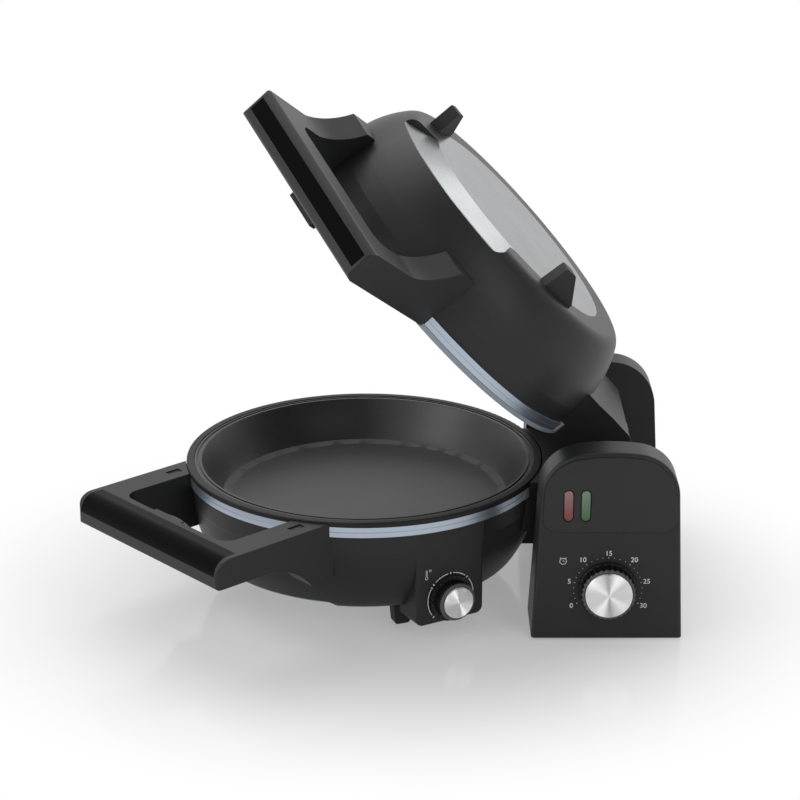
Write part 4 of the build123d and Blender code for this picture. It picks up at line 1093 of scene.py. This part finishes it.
def seen_by(tree, *kinds):
    """1 for rays of these kinds, else 0."""
    rays = add(tree, "ShaderNodeLightPath").outputs
    share = rays[f"Is {kinds[0]} Ray"]
    for kind in kinds[1:]:
        share = maths(tree, "MAXIMUM", share, rays[f"Is {kind} Ray"])
    return share


class BuildStudio(Operator):
    """Set the pale floor, the soft lights and the camera"""
    bl_idname = "tortilla.studio"
    bl_label = "Studio"

    def execute(self, context):
        settings = context.scene.tortilla_studio
        self.make_floor(settings)
        self.make_world(settings)
        for name, setting, place, size in LIGHTS:
            self.soft_light(name, getattr(settings, setting), place, size)
        self.make_camera(context.scene, settings)
        context.scene.view_settings.view_transform = "Standard"
        return {"FINISHED"}

    @staticmethod
    def make_floor(settings):
        mesh = bpy.data.meshes.new("floor")
        corners = [(x * FLOOR_HALF, y * FLOOR_HALF, 0) for x, y in ((-1, -1), (1, -1), (1, 1), (-1, 1))]
        mesh.from_pydata(corners, [], [(0, 1, 2, 3)])
        finish, tree, shader = blank_finish(
            "pale_floor", settings.floor, Roughness=0.1, Specular_IOR_Level=0.35)
        place = object_place(tree)
        cloud = noise(tree, place, 3.0, 2.0)
        tint(tree, shader, settings.floor, maths(tree, "ADD", maths(tree, "MULTIPLY", cloud, 0.01), 0.995))
        arm = vector_maths(tree, "SUBTRACT", place, WHITE_CENTRE)
        reach = vector_maths(tree, "LENGTH", vector_maths(tree, "MULTIPLY", arm, WHITE_SQUEEZE), out="Value")
        white = mapped(tree, reach, WHITE_NEAR, WHITE_FAR, WHITE_LEAST, 1.0, interpolation_type="SMOOTHSTEP")
        share = maths(tree, "MULTIPLY", seen_by(tree, "Camera", "Glossy", "Transmission"), white)
        glow = add(tree, "ShaderNodeEmission", {"Color": (1, 1, 1, 1), "Strength": 1.0})
        both = add(tree, "ShaderNodeMixShader", {0: share, 1: shader.outputs[0], 2: glow.outputs[0]})
        tree.links.new(both.outputs[0], tree.nodes["Material Output"].inputs["Surface"])
        mesh.materials.append(finish)
        put_in_scene("floor", mesh)

    @staticmethod
    def make_world(settings):
        """White to the camera, even light on matt surfaces, and a room with dark bands for bright metal."""
        world = bpy.data.worlds.new("studio_world")
        world.use_nodes = True
        tree = world.node_tree
        background = tree.nodes["Background"].inputs
        background["Color"].default_value = (1, 1, 1, 1)
        way = add(tree, "ShaderNodeTexCoord").outputs["Generated"]
        parts = add(tree, "ShaderNodeSeparateXYZ", {0: way}).outputs
        across = maths(tree, "ABSOLUTE", vector_maths(tree, "DOT_PRODUCT", way, SECOND_BAND, out="Value"))
        nearer = maths(tree, "MINIMUM", maths(tree, "ABSOLUTE", parts["X"]), across)
        behind = maths(tree, "GREATER_THAN", parts["Y"], 0.0)
        room = maths(tree, "MAXIMUM", mapped(tree, nearer, BAND_DARK, BAND_LIGHT), behind)
        lit = add(tree, "ShaderNodeMix", {0: seen_by(tree, "Glossy"), 2: settings.sky, 3: room}).outputs[0]
        strength = add(tree, "ShaderNodeMix", {0: seen_by(tree, "Camera", "Transmission"), 2: lit, 3: 1.0})
        tree.links.new(strength.outputs[0], background["Strength"])
        bpy.context.scene.world = world

    @staticmethod
    def soft_light(name, power, place, size):
        lamp = bpy.data.lights.new(name, "AREA")
        lamp.shape = "RECTANGLE"
        lamp.size, lamp.size_y = size
        lamp.energy = power
        light = put_in_scene(name, lamp)
        light.location = place
        light.rotation_euler = (LIGHT_AIM - Vector(place)).to_track_quat("-Z", "Y").to_euler()

    @staticmethod
    def make_camera(scene, settings):
        data = bpy.data.cameras.new("camera")
        data.sensor_width = SENSOR_WIDTH
        data.lens = settings.lens
        scene.camera = put_in_scene("camera", data)
        scene.camera.location = HINGE + CAMERA_FROM_HINGE
        scene.camera.rotation_euler = (math.pi / 2 - settings.pitch, 0, 0)


STEPS = (DressMouldings, DressHandles, DressPlates, DressBrightParts, DressFeet, DressInnerWorks, DressKnobs,
         MakeLampPanel, PrintTimerScale, PrintHeatScale, FitCoverScrews, BuildStudio)
SETTINGS = {
    "tortilla_panel": PanelSizes, "tortilla_prints": PrintSizes,
    "tortilla_colours": FinishColours, "tortilla_studio": StudioSettings,
}


class TortillaPanel(Panel):
    """Sizes, colours and steps of the tortilla maker's dressing"""
    bl_idname = "VIEW3D_PT_tortilla_maker"
    bl_label = "Tortilla maker"
    bl_space_type = "VIEW_3D"
    bl_region_type = "UI"
    bl_category = "Tortilla maker"

    def draw(self, context):
        for name in SETTINGS:
            settings = getattr(context.scene, name)
            box = self.layout.box()
            for label in settings.__annotations__:
                box.prop(settings, label)
        for step in STEPS:
            self.layout.operator(step.bl_idname)


def register():
    for name, kind in SETTINGS.items():
        bpy.utils.register_class(kind)
        setattr(bpy.types.Scene, name, PointerProperty(type=kind))
    for kind in (*STEPS, TortillaPanel):
        bpy.utils.register_class(kind)


def unregister():
    for kind in (TortillaPanel, *reversed(STEPS)):
        bpy.utils.unregister_class(kind)
    for name, kind in SETTINGS.items():
        delattr(bpy.types.Scene, name)
        bpy.utils.unregister_class(kind)


def main():
    register()
    for step in STEPS:
        family, action = step.bl_idname.split(".")
        getattr(getattr(bpy.ops, family), action)()


if __name__ == "__main__":
    main()
